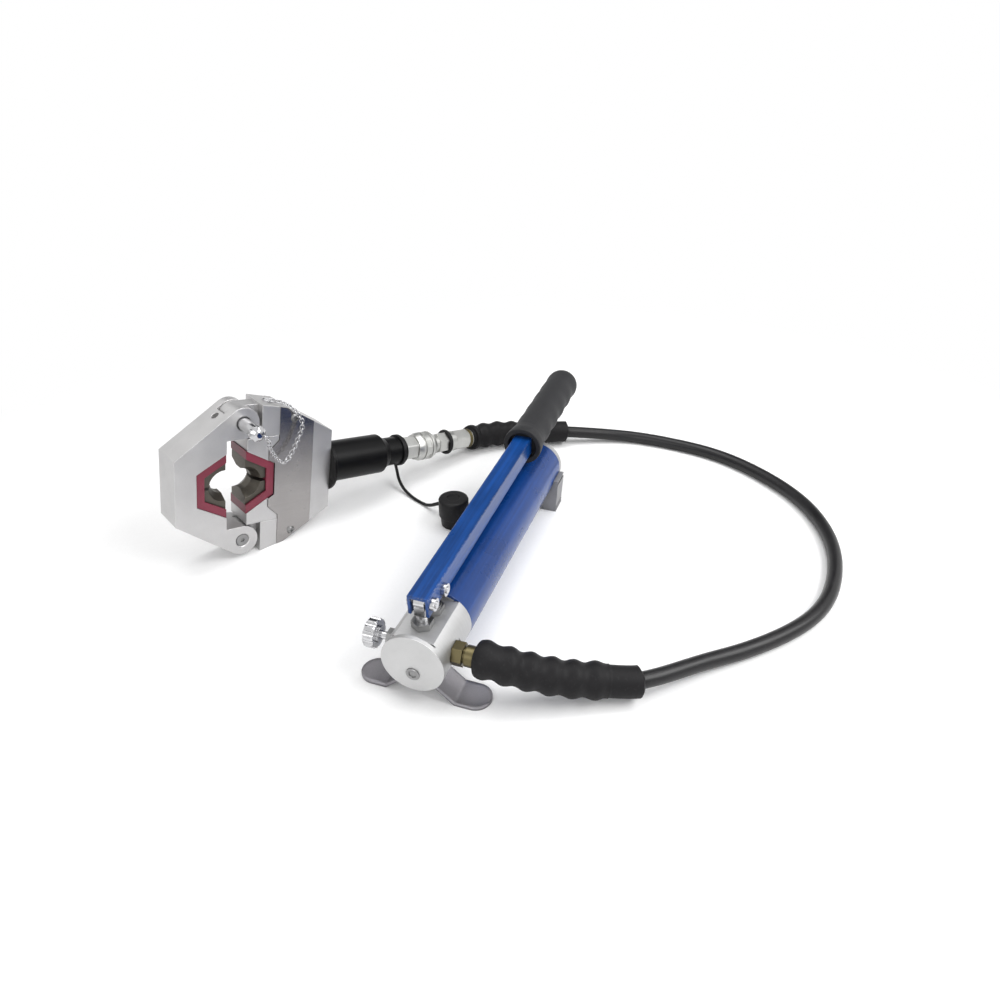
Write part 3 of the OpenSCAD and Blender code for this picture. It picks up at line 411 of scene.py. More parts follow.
@dataclass(frozen=True)
class Paint:
    """A gloss or satin coat over metal."""

    name: str
    colour: Tone
    roughness: float
    coat: float
    under: Tone = (150, 150, 148)
    chips: float = 0.5
    edge_radius: float = 0.6
    gloss: float = 0.5
    turn: Point = (0.0, 0.0, 0.0)
    highlight_streak: float = 0.0
    grime_and_shade: float = 0.45
    grime_and_shade_reach: float = 4.0
    peel_depth: float = 0.03

    def material(self) -> bpy.types.Material:
        """Writes the material."""
        surface = Surface(bpy.data.materials.new(self.name))
        normal, edge = surface.edges(self.edge_radius)
        peel = surface.noise(0.45, 2.0)
        cloud = surface.noise(0.03, 4.0)
        speck = surface.noise(2.2, 2.0).between(0.66, 0.78)
        highlight_streaks = surface.noise(1.0, 3.0, (0.004, 0.3, 0.3), self.turn).between(0.38, 0.68)
        chip = (edge * surface.noise(0.35, 5.0).between(0.48, 0.62)).between(0.35, 0.7) * self.chips
        base = srgb(*self.colour)
        tint = surface.mix(cloud.between(0.3, 0.7), toned(base, 0.72), base)
        # Painted highlight: light streaks along the paint stand in for glossy reflections.
        tint = surface.mix(highlight_streaks * self.highlight_streak, tint, toned(base, 2.0))
        tint = surface.mix(speck * 0.12, tint, toned(base, 0.75, 0.05))
        # Corners are painted darker by ambient occlusion: grime, and painted shade.
        tint = surface.mix(surface.corners(self.grime_and_shade_reach) * self.grime_and_shade, tint, toned(base, 0.3))
        tint = surface.mix(chip, tint, srgb(*self.under))
        rough = self.roughness + (cloud - 0.5) * 0.12 + speck * 0.05 + chip * 0.2
        return surface.close(
            {
                "Base Color": tint,
                "Roughness": rough.between(0.0, 1.0),
                "Metallic": chip,
                "Specular IOR Level": self.gloss,
                "Coat Weight": self.coat,
                "Coat Roughness": 0.08,
            },
            peel,
            normal,
            self.peel_depth,
        )


@dataclass(frozen=True)
class Rubber:
    """Moulded rubber."""

    name: str
    colour: Tone
    roughness: float
    pores: float = 1.6
    depth: float = 0.06
    edge_radius: float = 0.8
    gloss: float = 0.3
    # hollow and hollow_reach set the painted shade in recesses.
    hollow: float = 0.9
    hollow_reach: float = 9.0

    def material(self) -> bpy.types.Material:
        """Writes the material."""
        surface = Surface(bpy.data.materials.new(self.name))
        normal, edge = surface.edges(self.edge_radius)
        pore = surface.noise(self.pores, 4.0)
        cloud = surface.noise(0.05, 4.0)
        scuff = surface.noise(0.5, 4.0, (1.0, 0.3, 1.0), (15, 25, 40)).between(0.58, 0.74)
        base = srgb(*self.colour)
        moulded = cloud.between(0.3, 0.7) * 0.6 + pore.between(0.3, 0.7) * 0.4
        tint = surface.mix(moulded, toned(base, 0.7), base)
        tint = surface.mix(scuff * 0.35 + edge * 0.3, tint, toned(base, 1.4, 0.02))
        # Painted shade: the grip's mouth, the ripple valleys and other recesses are painted darker.
        tint = surface.mix(surface.corners(self.hollow_reach) * self.hollow, tint, toned(base, 0.3))
        rough = self.roughness + (cloud - 0.5) * 0.18 + (pore - 0.5) * 0.2 + scuff * 0.08
        return surface.close(
            {"Base Color": tint, "Roughness": rough.between(0.0, 1.0), "Specular IOR Level": self.gloss},
            pore,
            normal,
            self.depth,
        )


@dataclass
class Layout:
    """Where the sub-assemblies stand, as in the part's own source."""

    head_roll: float = 11.5
    shoulder: Pair = (36.0, -81.0)
    nut_end: float = 329.5
    pump_place: Pair = (14.0, -300.0)
    pump_yaw: float = 28.8
    pump_h: float = 43.5
    fulcrum: Pair = (24.0, 89.5)
    lever_rise: float = 1.6

    @property
    def ground(self) -> float:
        """Height of the floor, on which the head's lower shoulder rests."""
        turn = math.radians(self.head_roll)
        return self.shoulder[1] * math.cos(turn) - self.shoulder[0] * math.sin(turn)

    def head(self) -> Matrix:
        """The crimp head's frame, from millimetres to metres."""
        return Matrix.Scale(MM, 4) @ Matrix.Rotation(math.radians(self.head_roll), 4, "Y")

    def floor(self, x: float = 0.0, y: float = 0.0, turn: float = 0.0) -> Matrix:
        """A frame that stands on the floor.

        Args:
            x: Its place along X.
            y: Its place along Y.
            turn: Its turn about Z, in degrees.

        Returns:
            The frame, from millimetres to metres.
        """
        spot = Matrix.Translation((x, y, self.ground))
        return Matrix.Scale(MM, 4) @ spot @ Matrix.Rotation(math.radians(turn), 4, "Z")

    def pump(self) -> Matrix:
        """The hand pump's frame, from millimetres to metres."""
        return self.floor(*self.pump_place, self.pump_yaw)

    def lever(self) -> Matrix:
        """The lever's frame at rest, from millimetres to metres."""
        along, up = self.fulcrum
        tilt = Matrix.Rotation(math.radians(-self.lever_rise), 4, "Y")
        return self.pump() @ Matrix.Translation((along, 0.0, up)) @ tilt

    def head_point(self, x: float, y: float = 0.0, z: float = 0.0) -> Vector:
        """A place on the crimp head, in millimetres of the row frame."""
        return self.head() @ Vector((x, y, z)) / MM

    def pump_point(self, x: float, y: float, z: float) -> Vector:
        """A place on the hand pump, in millimetres of the row frame."""
        return self.pump() @ Vector((x, y, z)) / MM

    def floor_points(self, points: Iterable[Point]) -> list[Vector]:
        """Places whose heights are above the floor, in millimetres of the row frame."""
        return [Vector(p) + Vector((0.0, 0.0, self.ground)) for p in points]


LAYOUT = Layout()


def smooth_line(points: Sequence[Vector], first: float, last: float, per_step: int) -> list[Vector]:
    """A smooth curve through points.

    Args:
        points: The points that the curve goes through.
        first: Where it starts, as a point's number with a fraction.
        last: Where it ends, as a point's number with a fraction.
        per_step: Pieces from one point to the next.

    Returns:
        The points of the curve.
    """

    def spot(at: float) -> Vector:
        """The curve's place at a point's number."""
        i = min(int(at), len(points) - 2)
        t = at - i
        q = [points[min(max(i + k, 0), len(points) - 1)] for k in (-1, 0, 1, 2)]
        return 0.5 * (
            2 * q[1]
            + (q[2] - q[0]) * t
            + (2 * q[0] - 5 * q[1] + 4 * q[2] - q[3]) * t**2
            + (3 * q[1] - q[0] - 3 * q[2] + q[3]) * t**3
        )

    count = max(1, round((last - first) * per_step))
    return [spot(first + (last - first) * k / count) for k in range(count + 1)]


def eased(line: list[Vector], passes: int) -> list[Vector]:
    """Takes small wiggles out of a line, with its ends kept.

    Args:
        line: Points at even steps.
        passes: How often each point moves half-way to the middle of its neighbours.

    Returns:
        The smoother line.
    """
    for _ in range(passes):
        middles = [0.25 * a + 0.5 * b + 0.25 * c for a, b, c in zip(line, line[1:], line[2:])]
        line = [line[0], *middles, line[-1]]
    return line


def run_lengths(line: Sequence[Vector]) -> list[float]:
    """The length from the line's start to each of its points."""
    lengths = [0.0]
    for a, b in zip(line, line[1:]):
        lengths.append(lengths[-1] + (b - a).length)
    return lengths


class Shape:
    """A mesh in millimetres that ends as an object in metres."""

    def __init__(self) -> None:
        """Starts with nothing."""
        self.mesh = bmesh.new()

    def turned(self, profile: Iterable[Pair], steps: int = 72) -> Shape:
        """Turns an outline of stations and radii about the X axis.

        Args:
            profile: Pairs of a place along X and a radius, along the outline.
            steps: Faces round the turn.

        Returns:
            This shape.
        """
        verts = [self.mesh.verts.new((x, 0.0, r)) for x, r in profile]
        edges = [self.mesh.edges.new(pair) for pair in zip(verts, verts[1:])]
        bmesh.ops.spin(
            self.mesh,
            geom=verts + edges,
            axis=(1, 0, 0),
            cent=(0, 0, 0),
            angle=math.tau,
            steps=steps,
            use_merge=True,
        )
        bmesh.ops.remove_doubles(self.mesh, verts=self.mesh.verts[:], dist=1e-3)
        bmesh.ops.recalc_face_normals(self.mesh, faces=self.mesh.faces[:])
        return self

    def hexed(self, radius: float) -> Shape:
        """Draws the round edges of one radius in to a hexagon about the X axis.

        Args:
            radius: Radius of the edges, which becomes the hexagon's corners.

        Returns:
            This shape.
        """
        for vert in self.mesh.verts:
            across = math.hypot(vert.co.y, vert.co.z)
            if abs(across - radius) < 1e-3:
                turn = math.atan2(vert.co.y, vert.co.z) % (math.pi / 3) - math.pi / 6
                vert.co.yz = vert.co.yz * (math.cos(math.pi / 6) / math.cos(turn))
        return self

    def ring(self, radius: float, wire: float, frame: Matrix, steps: int = 18, sides: int = 8) -> Shape:
        """Adds a ring of round wire.

        Args:
            radius: Radius to the middle of the wire.
            wire: Wire diameter.
            frame: Where the ring goes, drawn about Z.
            steps: Faces round the ring.
            sides: Faces round the wire.

        Returns:
            This shape.
        """
        part = bmesh.new()
        across = Matrix.Translation((radius, 0, 0)) @ Matrix.Rotation(math.pi / 2, 4, "X")
        made = bmesh.ops.create_circle(part, segments=sides, radius=wire / 2, matrix=across)
        bmesh.ops.spin(
            part,
            geom=made["verts"] + list({e for v in made["verts"] for e in v.link_edges}),
            axis=(0, 0, 1),
            cent=(0, 0, 0),
            angle=math.tau,
            steps=steps,
            use_merge=True,
        )
        bmesh.ops.recalc_face_normals(part, faces=part.faces[:])
        bmesh.ops.transform(part, matrix=frame, verts=part.verts[:])
        kept = bpy.data.meshes.new("ring")
        part.to_mesh(kept)
        part.free()
        self.mesh.from_mesh(kept)
        bpy.data.meshes.remove(kept)
        return self

    def placed(self, name: str, frame: Matrix, sharp: float = 40.0) -> bpy.types.Object:
        """Ends the shape as an object with its place in its mesh.

        Args:
            name: The piece's name.
            frame: From the shape's millimetres to metres.
            sharp: Edges that turn by more than this stay sharp, in degrees.

        Returns:
            The object.
        """
        bmesh.ops.transform(self.mesh, matrix=frame, verts=self.mesh.verts[:])
        data = bpy.data.meshes.new(name)
        self.mesh.to_mesh(data)
        self.mesh.free()
        data.shade_smooth()
        data.set_sharp_from_angle(angle=math.radians(sharp))
        return linked(name, data)


def linked(name: str, data: bpy.types.ID) -> bpy.types.Object:
    """Puts data into the scene as an object of that name."""
    made = bpy.data.objects.new(name, data)
    bpy.context.scene.collection.objects.link(made)
    return made


def tube_curve(name: str, line: Sequence[Vector], radii: Sequence[float], sides: int) -> bpy.types.Object:
    """A round tube of changing radius along a line, as a curve of one spline.

    Args:
        name: The piece's name.
        line: Points in millimetres, in the row frame.
        radii: Radius at each point, in millimetres.
        sides: Bevel resolution.

    Returns:
        The curve object.
    """
    curve = bpy.data.curves.new(name, "CURVE")
    curve.dimensions = "3D"
    curve.bevel_depth = MM
    curve.bevel_resolution = sides
    curve.use_fill_caps = True
    spline = curve.splines.new("POLY")
    spline.points.add(len(line) - 1)
    for point, spot, radius in zip(spline.points, line, radii):
        point.co = (*(spot * MM), 1.0)
        point.radius = radius
    spline.use_smooth = True
    return linked(name, curve)


def tube_mesh(name: str, line: Sequence[Vector], radii: Sequence[float], sides: int) -> bpy.types.Object:
    """The same tube as a mesh.

    Args:
        name: The piece's name.
        line: Points in millimetres, in the row frame.
        radii: Radius at each point, in millimetres.
        sides: Bevel resolution.

    Returns:
        The mesh object.
    """
    guide = tube_curve(name + "_guide", line, radii, sides)
    bpy.context.view_layer.update()
    data = bpy.data.meshes.new_from_object(guide.evaluated_get(bpy.context.evaluated_depsgraph_get()))
    data.name = name
    bpy.data.objects.remove(guide)
    shape = bmesh.new()
    shape.from_mesh(data)
    bmesh.ops.remove_doubles(shape, verts=shape.verts[:], dist=1e-6)
    bmesh.ops.recalc_face_normals(shape, faces=shape.faces[:])
    shape.to_mesh(data)
    shape.free()
    data.shade_smooth()
    data.set_sharp_from_angle(angle=math.radians(50))
    return linked(name, data)


class Workshop:
    """Keeps the frame and hands out finishes, each made once."""

    def __init__(self, frame: Mapping[str, Any]) -> None:
        """Keeps the loaded frame."""
        self.nodes: Mapping[str, bpy.types.Object] = frame["nodes"]
        self.made: dict[str, bpy.types.Material] = {}

    def finish(self, finish: Metal | Paint | Rubber) -> bpy.types.Material:
        """The material of a finish."""
        if finish.name not in self.made:
            self.made[finish.name] = finish.material()
        return self.made[finish.name]

    def dress(self, finish: Metal | Paint | Rubber, *names: str) -> None:
        """Gives CAD nodes a finish.

        Args:
            finish: The finish.
            names: The nodes.
        """
        for name in names:
            data = self.nodes[name].data
            data.materials.clear()
            data.materials.append(self.finish(finish))
            LOG.info("node %s: %s", name, finish.name)

    def add(
        self,
        piece: bpy.types.Object,
        finish: Metal | Paint | Rubber,
        slot: str,
        body: str = "root",
        instead_of: Sequence[str] = (),
    ) -> bpy.types.Object:
        """Finishes a new piece.

        Args:
            piece: The new object.
            finish: Its finish.
            slot: The record's material slot; not used.
            body: The body that it rides on.
            instead_of: The CAD nodes that it stands for.

        Returns:
            The same object.
        """
        piece.data.materials.append(self.finish(finish))
        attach(piece, body)
        if instead_of:
            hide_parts(*instead_of)
        LOG.info("piece %s on %s: %s", piece.name, body, finish.name)
        return piece


HEAD_TURN = (0.0, -LAYOUT.head_roll, 0.0)
PUMP_TURN = (0.0, 0.0, -LAYOUT.pump_yaw)
ALUMINIUM = Metal("satin_aluminium", (204, 203, 203), 0.44, Grain.BLASTED, edge_radius=0.9)
MACHINED = Metal("machined_aluminium", (200, 200, 200), 0.48, Grain.TURNED, PUMP_TURN)
PLATE = Metal("polished_plate", (166, 163, 162), 0.22, Grain.BRUSHED, HEAD_TURN, edge_radius=0.3)
CHROME = Metal("chrome_plating", (206, 206, 208), 0.12, Grain.POLISHED)
NICKEL = Metal("nickel_plating", (206, 206, 203), 0.38, Grain.TURNED, HEAD_TURN, edge_radius=0.5)
STEEL = Metal("machine_steel", (150, 150, 150), 0.36, Grain.POLISHED, edge_radius=0.35)
# The jaws get more painted shade and grime in their corners.
JAW_STEEL = Metal("jaw_steel", (98, 94, 87), 0.42, Grain.SPANGLED, edge_radius=0.6, grime_and_shade=0.6)
# Its wide edge radius paints a highlight along the foot's bends.
FOOT_STEEL = Metal("foot_steel", (142, 140, 144), 0.36, Grain.SPANGLED, edge_radius=4.0)
BRASS = Metal("olive_brass", (104, 96, 70), 0.34, Grain.TURNED, PUMP_TURN)
RED = Paint("red_die_paint", (120, 31, 54), 0.42, 0.15, (150, 140, 138), 0.7)
BLACK = Paint("black_satin_paint", (8, 8, 9), 0.36, 0.0, (110, 110, 110), 0.3, 1.0, 0.15)
BARE = (170, 172, 175)
# The last number of BLUE and CHANNEL_BLUE is the strength of their painted highlight streaks.
BLUE = Paint("blue_gloss_paint", (9, 54, 117), 0.28, 0.12, BARE, 0.4, 1.2, 0.35, PUMP_TURN, 0.25)
CHANNEL_BLUE = Paint("blue_channel_paint", (10, 57, 118), 0.3, 0.12, BARE, 0.4, 2.4, 0.35, PUMP_TURN, 0.45)
CASTING = Paint("grey_casting_paint", (132, 132, 135), 0.5, 0.0, (160, 160, 160), 0.4)
GRIP = Rubber("grip_rubber", (19, 18, 20), 0.56, gloss=0.2)
LEVER_GRIP = Rubber("lever_grip_rubber", (40, 40, 42), 0.58, 2.2, 0.08, gloss=0.25)
HOSE_COVER = Rubber("hose_cover", (19, 18, 20), 0.34, 2.4, 0.04, gloss=0.35)
SOFT_BLACK = Rubber("black_rubber", (14, 13, 15), 0.5, gloss=0.25)


@dataclass
class CrimpHead:
    """The hinged head with its dies, pins and chain."""

    link_r: float = 2.4
    link_wire: float = 1.1
    link_step: float = 3.5
    link_oval: Pair = (1.12, 0.86)
    link_roll: float = 20.0
    link_sharp: float = 80.0
    chain_steps: int = 8
    chain_meet: int = 11
    chain_points: tuple[Point, ...] = (
        (50, -9, 81.8),
        (58, -18, 81.05),
        (66, -23, 75.55),
        (73.5, -26, 65.55),
        (75, -26.5, 56.15),
        (71, -26.5, 44.55),
        (66, -27, 33.55),
        (60, -28, 25.15),
        (53.5, -30, 22.35),
        (45, -33.5, 28.5),
        (37, -39, 38),
        (29.5, -46, 49),
        (26, -52, 57.5),
        (20.5, -54.5, 64),
    )

    def chain(self) -> list[bpy.types.Object]:
        """Hangs the chain of oval links from the rivet to the lock knob, in two runs."""
        points = [Vector(p) for p in self.chain_points]
        line = smooth_line(points, 0, len(points) - 1, self.chain_steps)
        lengths = run_lengths(line)
        runs = {"chain_links": Shape(), "chain_end_links": Shape()}
        oval = Matrix.Diagonal((*self.link_oval, 1.0, 1.0))
        for link in range(int(lengths[-1] / self.link_step) + 1):
            along = link * self.link_step
            i = max(k for k in range(len(line) - 1) if lengths[k] <= along)
            way = (line[i + 1] - line[i]).normalized()
            spot = Matrix.Translation(line[i] + (along - lengths[i]) * way)
            aim = Vector((1, 0, 0)).rotation_difference(way).to_matrix().to_4x4()
            roll = Matrix.Rotation(math.radians(90 * (link % 2) + self.link_roll), 4, "X")
            run = "chain_links" if i < self.chain_meet * self.chain_steps else "chain_end_links"
            runs[run].ring(self.link_r, self.link_wire, spot @ aim @ roll @ oval)
        return [shape.placed(name, LAYOUT.head(), self.link_sharp) for name, shape in runs.items()]

    def build(self, shop: Workshop) -> None:
        """Dresses the head and hangs its chain.

        Args:
            shop: The frame and finishes.
        """
        shop.dress(ALUMINIUM, "yoke", "gate", "pusher")
        shop.dress(PLATE, "front_plate", "rear_plate")
        shop.dress(STEEL, "plate_screws", "hinge_pin")
        shop.dress(CHROME, "lock_pin", "lock_knob", "chain_rivet")
        shop.dress(RED, "gate_die", "ram_die")
        shop.dress(JAW_STEEL, "gate_jaws", "ram_jaws")
        start, meet, end = (LAYOUT.head() @ Vector(self.chain_points[k]) for k in (0, self.chain_meet, -1))
        chord = end - start
        level = start + chord * (meet - start).dot(chord) / chord.length_squared
        ways = (("root", "gate", start, level), ("gate", "lock", meet, end))
        for run, (near, far, first, last) in zip(self.chain(), ways):
            run.data.materials.append(shop.finish(CHROME))
            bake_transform(run)
            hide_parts("lock_chain")
            LOG.info("piece %s between %s and %s", run.name, near, far)


@dataclass
class RamCylinder:
    """The black barrel, its nose and what runs inside."""

    stroke: float = 20.0
    spring_x: Pair = (122.1, 156.9)
    spring_r: float = 13.5
    spring_wire: float = 2.6
    spring_turns: int = 5
    turn_steps: int = 48

    def spring(self) -> bpy.types.Object:
        """Winds the return spring round the piston's rod."""
        steps = self.turn_steps * self.spring_turns
        first, last = self.spring_x
        line = []
        for k in range(steps + 1):
            turn = math.tau * self.spring_turns * k / steps
            across = self.spring_r * math.cos(turn), self.spring_r * math.sin(turn)
            line.append(LAYOUT.head_point(first + (last - first) * k / steps, *across))
        return tube_mesh("return_spring_wire", line, [self.spring_wire / 2] * len(line), 4)

    def build(self, shop: Workshop) -> None:
        """Dresses the cylinder and winds its spring.

        Args:
            shop: The frame and finishes.
        """
        shop.dress(BLACK, "cylinder_barrel", "barrel_nose")
        shop.dress(SOFT_BLACK, "strap_ring", "piston_seal")
        shop.dress(STEEL, "ram_piston")
        spring = shop.add(self.spring(), STEEL, "steel", instead_of=["return_spring"])
        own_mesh(spring)


@dataclass
class Coupler:
    """The plated quick coupler between the cylinder and the hose."""

    band_r: float = 12.0
    band_l: float = 4.4
    band_t: float = 1.4
    band_in: float = 1.0

    def build(self, shop: Workshop) -> None:
        """Dresses the coupler and adds the brass band behind the nut.

        Args:
            shop: The frame and finishes.
        """
        shop.dress(NICKEL, "coupler_nipple", "coupler_collar", "coupler_body", "hose_nut")
        shop.dress(SOFT_BLACK, "coupler_ring")
        x1 = LAYOUT.nut_end - self.band_in
        x0, r, inner = x1 - self.band_l, self.band_r, self.band_r - self.band_t
        profile = [(x0, inner), (x0, r - 0.4), (x0 + 0.4, r), (x0 + 1.8, r), (x0 + 2.2, r - 0.5)]
        profile += [(x0 + 2.8, r - 0.5), (x0 + 3.2, r), (x1 - 0.4, r), (x1, r - 0.4)]
        profile += [(x1, inner), (x0, inner)]
        band = Shape().turned(profile).placed("hose_nut_band", LAYOUT.head())
        shop.add(band, BRASS, "brass")


@dataclass
class Hose:
    """The hose with its two rippled grips."""

    diameter: float = 14.5
    grip_r: float = 16.2
    ripple: float = 2.2
    ripples: int = 6
    ripple_share: float = 0.8
    plain_r: float = 13.5
    end_share: float = 0.985
    port_u: float = 24.0
    port_end: float = 45.5
    lead: float = 14.0
    near_last: int = 5
    far_first: int = 21
    lap: float = 0.2
    grip_steps: int = 36
    hose_steps: int = 14
    easing: int = 90
    points: tuple[Point, ...] = (
        (80, -355, 35),
        (105, -376, 25),
        (131, -396, 19),
        (158, -418, 16.4),
        (192, -429, 14),
        (227, -438, 10),
        (256, -449, 7.8),
        (300, -462, 7.4),
        (346, -469, 7.4),
        (390, -463, 7.4),
        (436, -444, 7.4),
        (476, -418, 7.4),
        (513, -377, 7.4),
        (536, -328, 7.4),
        (546, -270, 7.4),
        (545, -225, 7.4),
        (532, -182, 7.4),
        (511, -135, 7.4),
        (485, -104, 9.5),
        (437, -67, 16.4),
        (410, -46.5, 16.4),
        (385, -27, 16.7),
        (362, -9.5, 17.3),
    )

    def route(self) -> list[Vector]:
        """The whole line from the pump's fitting to the coupler."""
        steps = (0.0, self.lead)
        near = [LAYOUT.pump_point(self.port_u, -self.port_end - step, LAYOUT.pump_h) for step in steps]
        far = [LAYOUT.head_point(LAYOUT.nut_end + step) for step in reversed(steps)]
        return near + LAYOUT.floor_points(self.points) + far

    def grip_radius(self, share: float) -> float:
        """Radius of a grip.

        Args:
            share: How far along the grip, from its fitting to its plain end.

        Returns:
            The radius in millimetres.
        """
        if share > self.end_share:
            return self.plain_r - 1.2 - 250 * (share - self.end_share)
        if share > self.ripple_share:
            return self.plain_r
        wave = 1 - math.cos(math.tau * (share / self.ripple_share * self.ripples - 0.4))
        return self.grip_r - self.ripple / 2 * wave - (2.5 if share < 0.02 else 0.0)

    def grip(self, name: str, line: list[Vector]) -> bpy.types.Object:
        """One rippled grip.

        Args:
            name: The piece's name.
            line: Its line from the fitting to its plain end.

        Returns:
            The mesh object.
        """
        lengths = run_lengths(line)
        radii = [self.grip_radius(d / lengths[-1]) for d in lengths]
        return tube_mesh(name, line, radii, 14)

    def build(self, shop: Workshop) -> None:
        """Lays the hose and its grips.

        Args:
            shop: The frame and finishes.
        """
        route = self.route()
        near = smooth_line(route, 0, self.near_last, self.grip_steps)
        far = smooth_line(route, self.far_first, len(route) - 1, self.grip_steps)[::-1]
        shop.add(self.grip("near_grip_sleeve", near), GRIP, "grip_rubber", instead_of=["near_grip"])
        shop.add(self.grip("far_grip_sleeve", far), GRIP, "grip_rubber", instead_of=["far_grip"])
        line = smooth_line(route, self.near_last - self.lap, self.far_first + self.lap, self.hose_steps)
        line = eased(line, self.easing)
        hose = tube_curve("hose_line", line, [self.diameter / 2] * len(line), 10)
        shop.add(hose, HOSE_COVER, "black_rubber", instead_of=["hose"])
        length = run_lengths(line)[-1] * MM
        tuple(line[0] * MM)
        LOG.info("hose length %.3f m", length)


@dataclass
class DustCap:
    """The rubber cap on its strap."""

    place: Pair = (205.0, -116.0)
    diameter: float = 33.0
    height: float = 34.0
    wall: float = 3.5
    strap_d: float = 3.6
    strap_at: Pair = (217.5, -18.5)
    strap_drop: Point = (0.0, -2.0, -8.0)
    strap_steps: int = 12
    widen_from: float = 0.6
    widen: float = 0.4
    points: tuple[Point, ...] = (
        (205, -12, 10.5),
        (202, -26, 4.6),
        (201, -45, 2),
        (202, -64, 2.2),
        (202.5, -76, 6),
        (204, -86, 11.8),
        (205, -92.2, 14.8),
        (205, -99.2, 15.3),
    )

    def cap(self) -> bpy.types.Object:
        """The hollow cap, open at the floor."""
        r, h, wall = self.diameter / 2, self.height, self.wall
        skirt = r - 2.2
        profile = [(h - wall, 0.0), (h - wall, r - wall - 1.5), (h - wall - 1.5, r - wall), (0.6, r - wall)]
        profile += [(0.0, r - wall + 0.5), (0.0, skirt - 0.4), (0.6, skirt), (h * 0.34, skirt + 0.8)]
        profile += [(h * 0.36, r - 0.5), (h * 0.37, r - 0.1), (h * 0.39, r)]
        profile += [(h - 2.6, r), (h - 1.0, r - 0.7), (h - 0.2, r - 2.2), (h, r - 4.0)]
        profile += [(h, r * 0.45), (h - 0.8, r * 0.42), (h - 0.8, 0.0)]
        upright = Matrix.Rotation(-math.pi / 2, 4, "Y")
        return Shape().turned(profile).placed("dust_cap_shell", LAYOUT.floor(*self.place) @ upright)

    def build(self, shop: Workshop) -> None:
        """Makes the cap and lays its strap.

        Args:
            shop: The frame and finishes.
        """
        cap = shop.add(self.cap(), SOFT_BLACK, "black_rubber", instead_of=["dust_cap"])
        start = LAYOUT.head_point(self.strap_at[0], 0.0, self.strap_at[1])
        route = [start, start + Vector(self.strap_drop)] + LAYOUT.floor_points(self.points)
        line = smooth_line(route, 0, len(route) - 1, self.strap_steps)
        count = len(line) - 1
        late = [max(0.0, k / count - self.widen_from) / (1 - self.widen_from) for k in range(count + 1)]
        radii = [self.strap_d / 2 * (1 + self.widen * share) for share in late]
        strap = tube_curve("cap_strap_band", line, radii, 6)
        shop.add(strap, SOFT_BLACK, "black_rubber", instead_of=["cap_strap"])
        length = run_lengths(line)[-1] * MM
        tuple(line[0] * MM)
        LOG.info("strap length %.3f m", length)


@dataclass
class HandPump:
    """The pump's head, reservoir, feet and valves."""

    plug_drop: float = 10.0
    plug_d: float = 12.0
    plug_proud: float = 1.2
    socket_r: float = 3.6

    def plug(self) -> bpy.types.Object:
        """The small socket plug on the face of the pump's head."""
        r, socket, proud = self.plug_d / 2, self.socket_r, self.plug_proud
        profile = [(0.6, 0.0), (0.6, r), (0.5 - proud, r), (-proud, r - 0.5), (-proud, socket + 0.4)]
        profile += [(0.4 - proud, socket), (-0.1, socket), (-0.1, 0.0)]
        frame = LAYOUT.pump() @ Matrix.Translation((0.0, 0.0, LAYOUT.pump_h - self.plug_drop))
        return Shape().turned(profile).hexed(socket).placed("head_plug", frame)

    def build(self, shop: Workshop) -> None:
        """Dresses the pump.

        Args:
            shop: The frame and finishes.
        """
        shop.dress(MACHINED, "pump_head", "end_cap")
        shop.dress(BLUE, "reservoir_tube")
        shop.dress(FOOT_STEEL, "front_foot")
        shop.dress(CASTING, "rear_foot")
        shop.dress(BRASS, "port_fitting")
        shop.dress(CHROME, "fulcrum_post", "plunger", "release_knob", "release_stem")
        shop.dress(STEEL, "fulcrum_nut", "plunger_gland", "release_gland", "foot_screws")
        shop.dress(STEEL, "filler_plug", "suction_tube", "check_balls")
        shop.dress(SOFT_BLACK, "cap_seal", "plunger_seal")
        shop.add(self.plug(), STEEL, "steel")


@dataclass
class Lever:
    """The pump's channel lever with its rubber grip."""

    grip_x0: float = 258.0
    grip_l: float = 170.0
    grip_d: float = 39.0
    axis_z: float = -0.5
    mouth: float = 6.0
    plain: float = 14.0
    dome: float = 13.0
    waves: int = 5
    wave: float = 0.6
    wave_steps: int = 16

    def grip(self) -> bpy.types.Object:
        """The grip: straight on top, with finger waves below and a rounded end."""
        r, length, mouth = self.grip_d / 2, self.grip_l, self.mouth
        straight = r - 0.9
        profile = [(mouth, 0.0), (mouth, r - 4.9), (mouth - 0.4, r - 4.5), (0.6, r - 4.3), (0.0, r - 3.8)]
        profile += [(0.0, r + 0.2), (0.6, r + 0.8), (2.0, r + 0.9), (7.0, r + 0.8), (12.0, r + 0.2)]
        count = self.wave_steps * self.waves
        for k in range(count + 1):
            share = k / count
            wave = self.wave * (math.cos(math.tau * self.waves * share) - min(1.0, 10 * share))
            profile.append((self.plain + share * (length - 2 * self.plain), straight + wave))
        for k in range(1, 13):
            turn = k / 12 * math.pi / 2
            profile.append((length - self.dome * (1 - math.sin(turn)), (r - 1.0) * math.cos(turn) ** 0.6))
        profile[-1] = (length, 0.0)
        shape = Shape().turned(profile)
        for vert in shape.mesh.verts:
            across = math.hypot(vert.co.y, vert.co.z)
            if self.plain < vert.co.x < length - self.plain and across < straight:
                swell = 1 + max(0.0, vert.co.z / across) * (straight / across - 1)
                vert.co.yz = vert.co.yz * swell
        frame = LAYOUT.lever() @ Matrix.Translation((self.grip_x0, 0.0, self.axis_z))
        return shape.placed("lever_grip_sleeve", frame)

    def build(self, shop: Workshop) -> None:
        """Dresses the lever and makes its grip.

        Args:
            shop: The frame and finishes.
        """
        shop.dress(CHANNEL_BLUE, "lever_channel")
        shop.dress(CHROME, "fulcrum_pin", "plunger_pin")
        shop.add(self.grip(), LEVER_GRIP, "grip_rubber", "lever", ["lever_grip"])


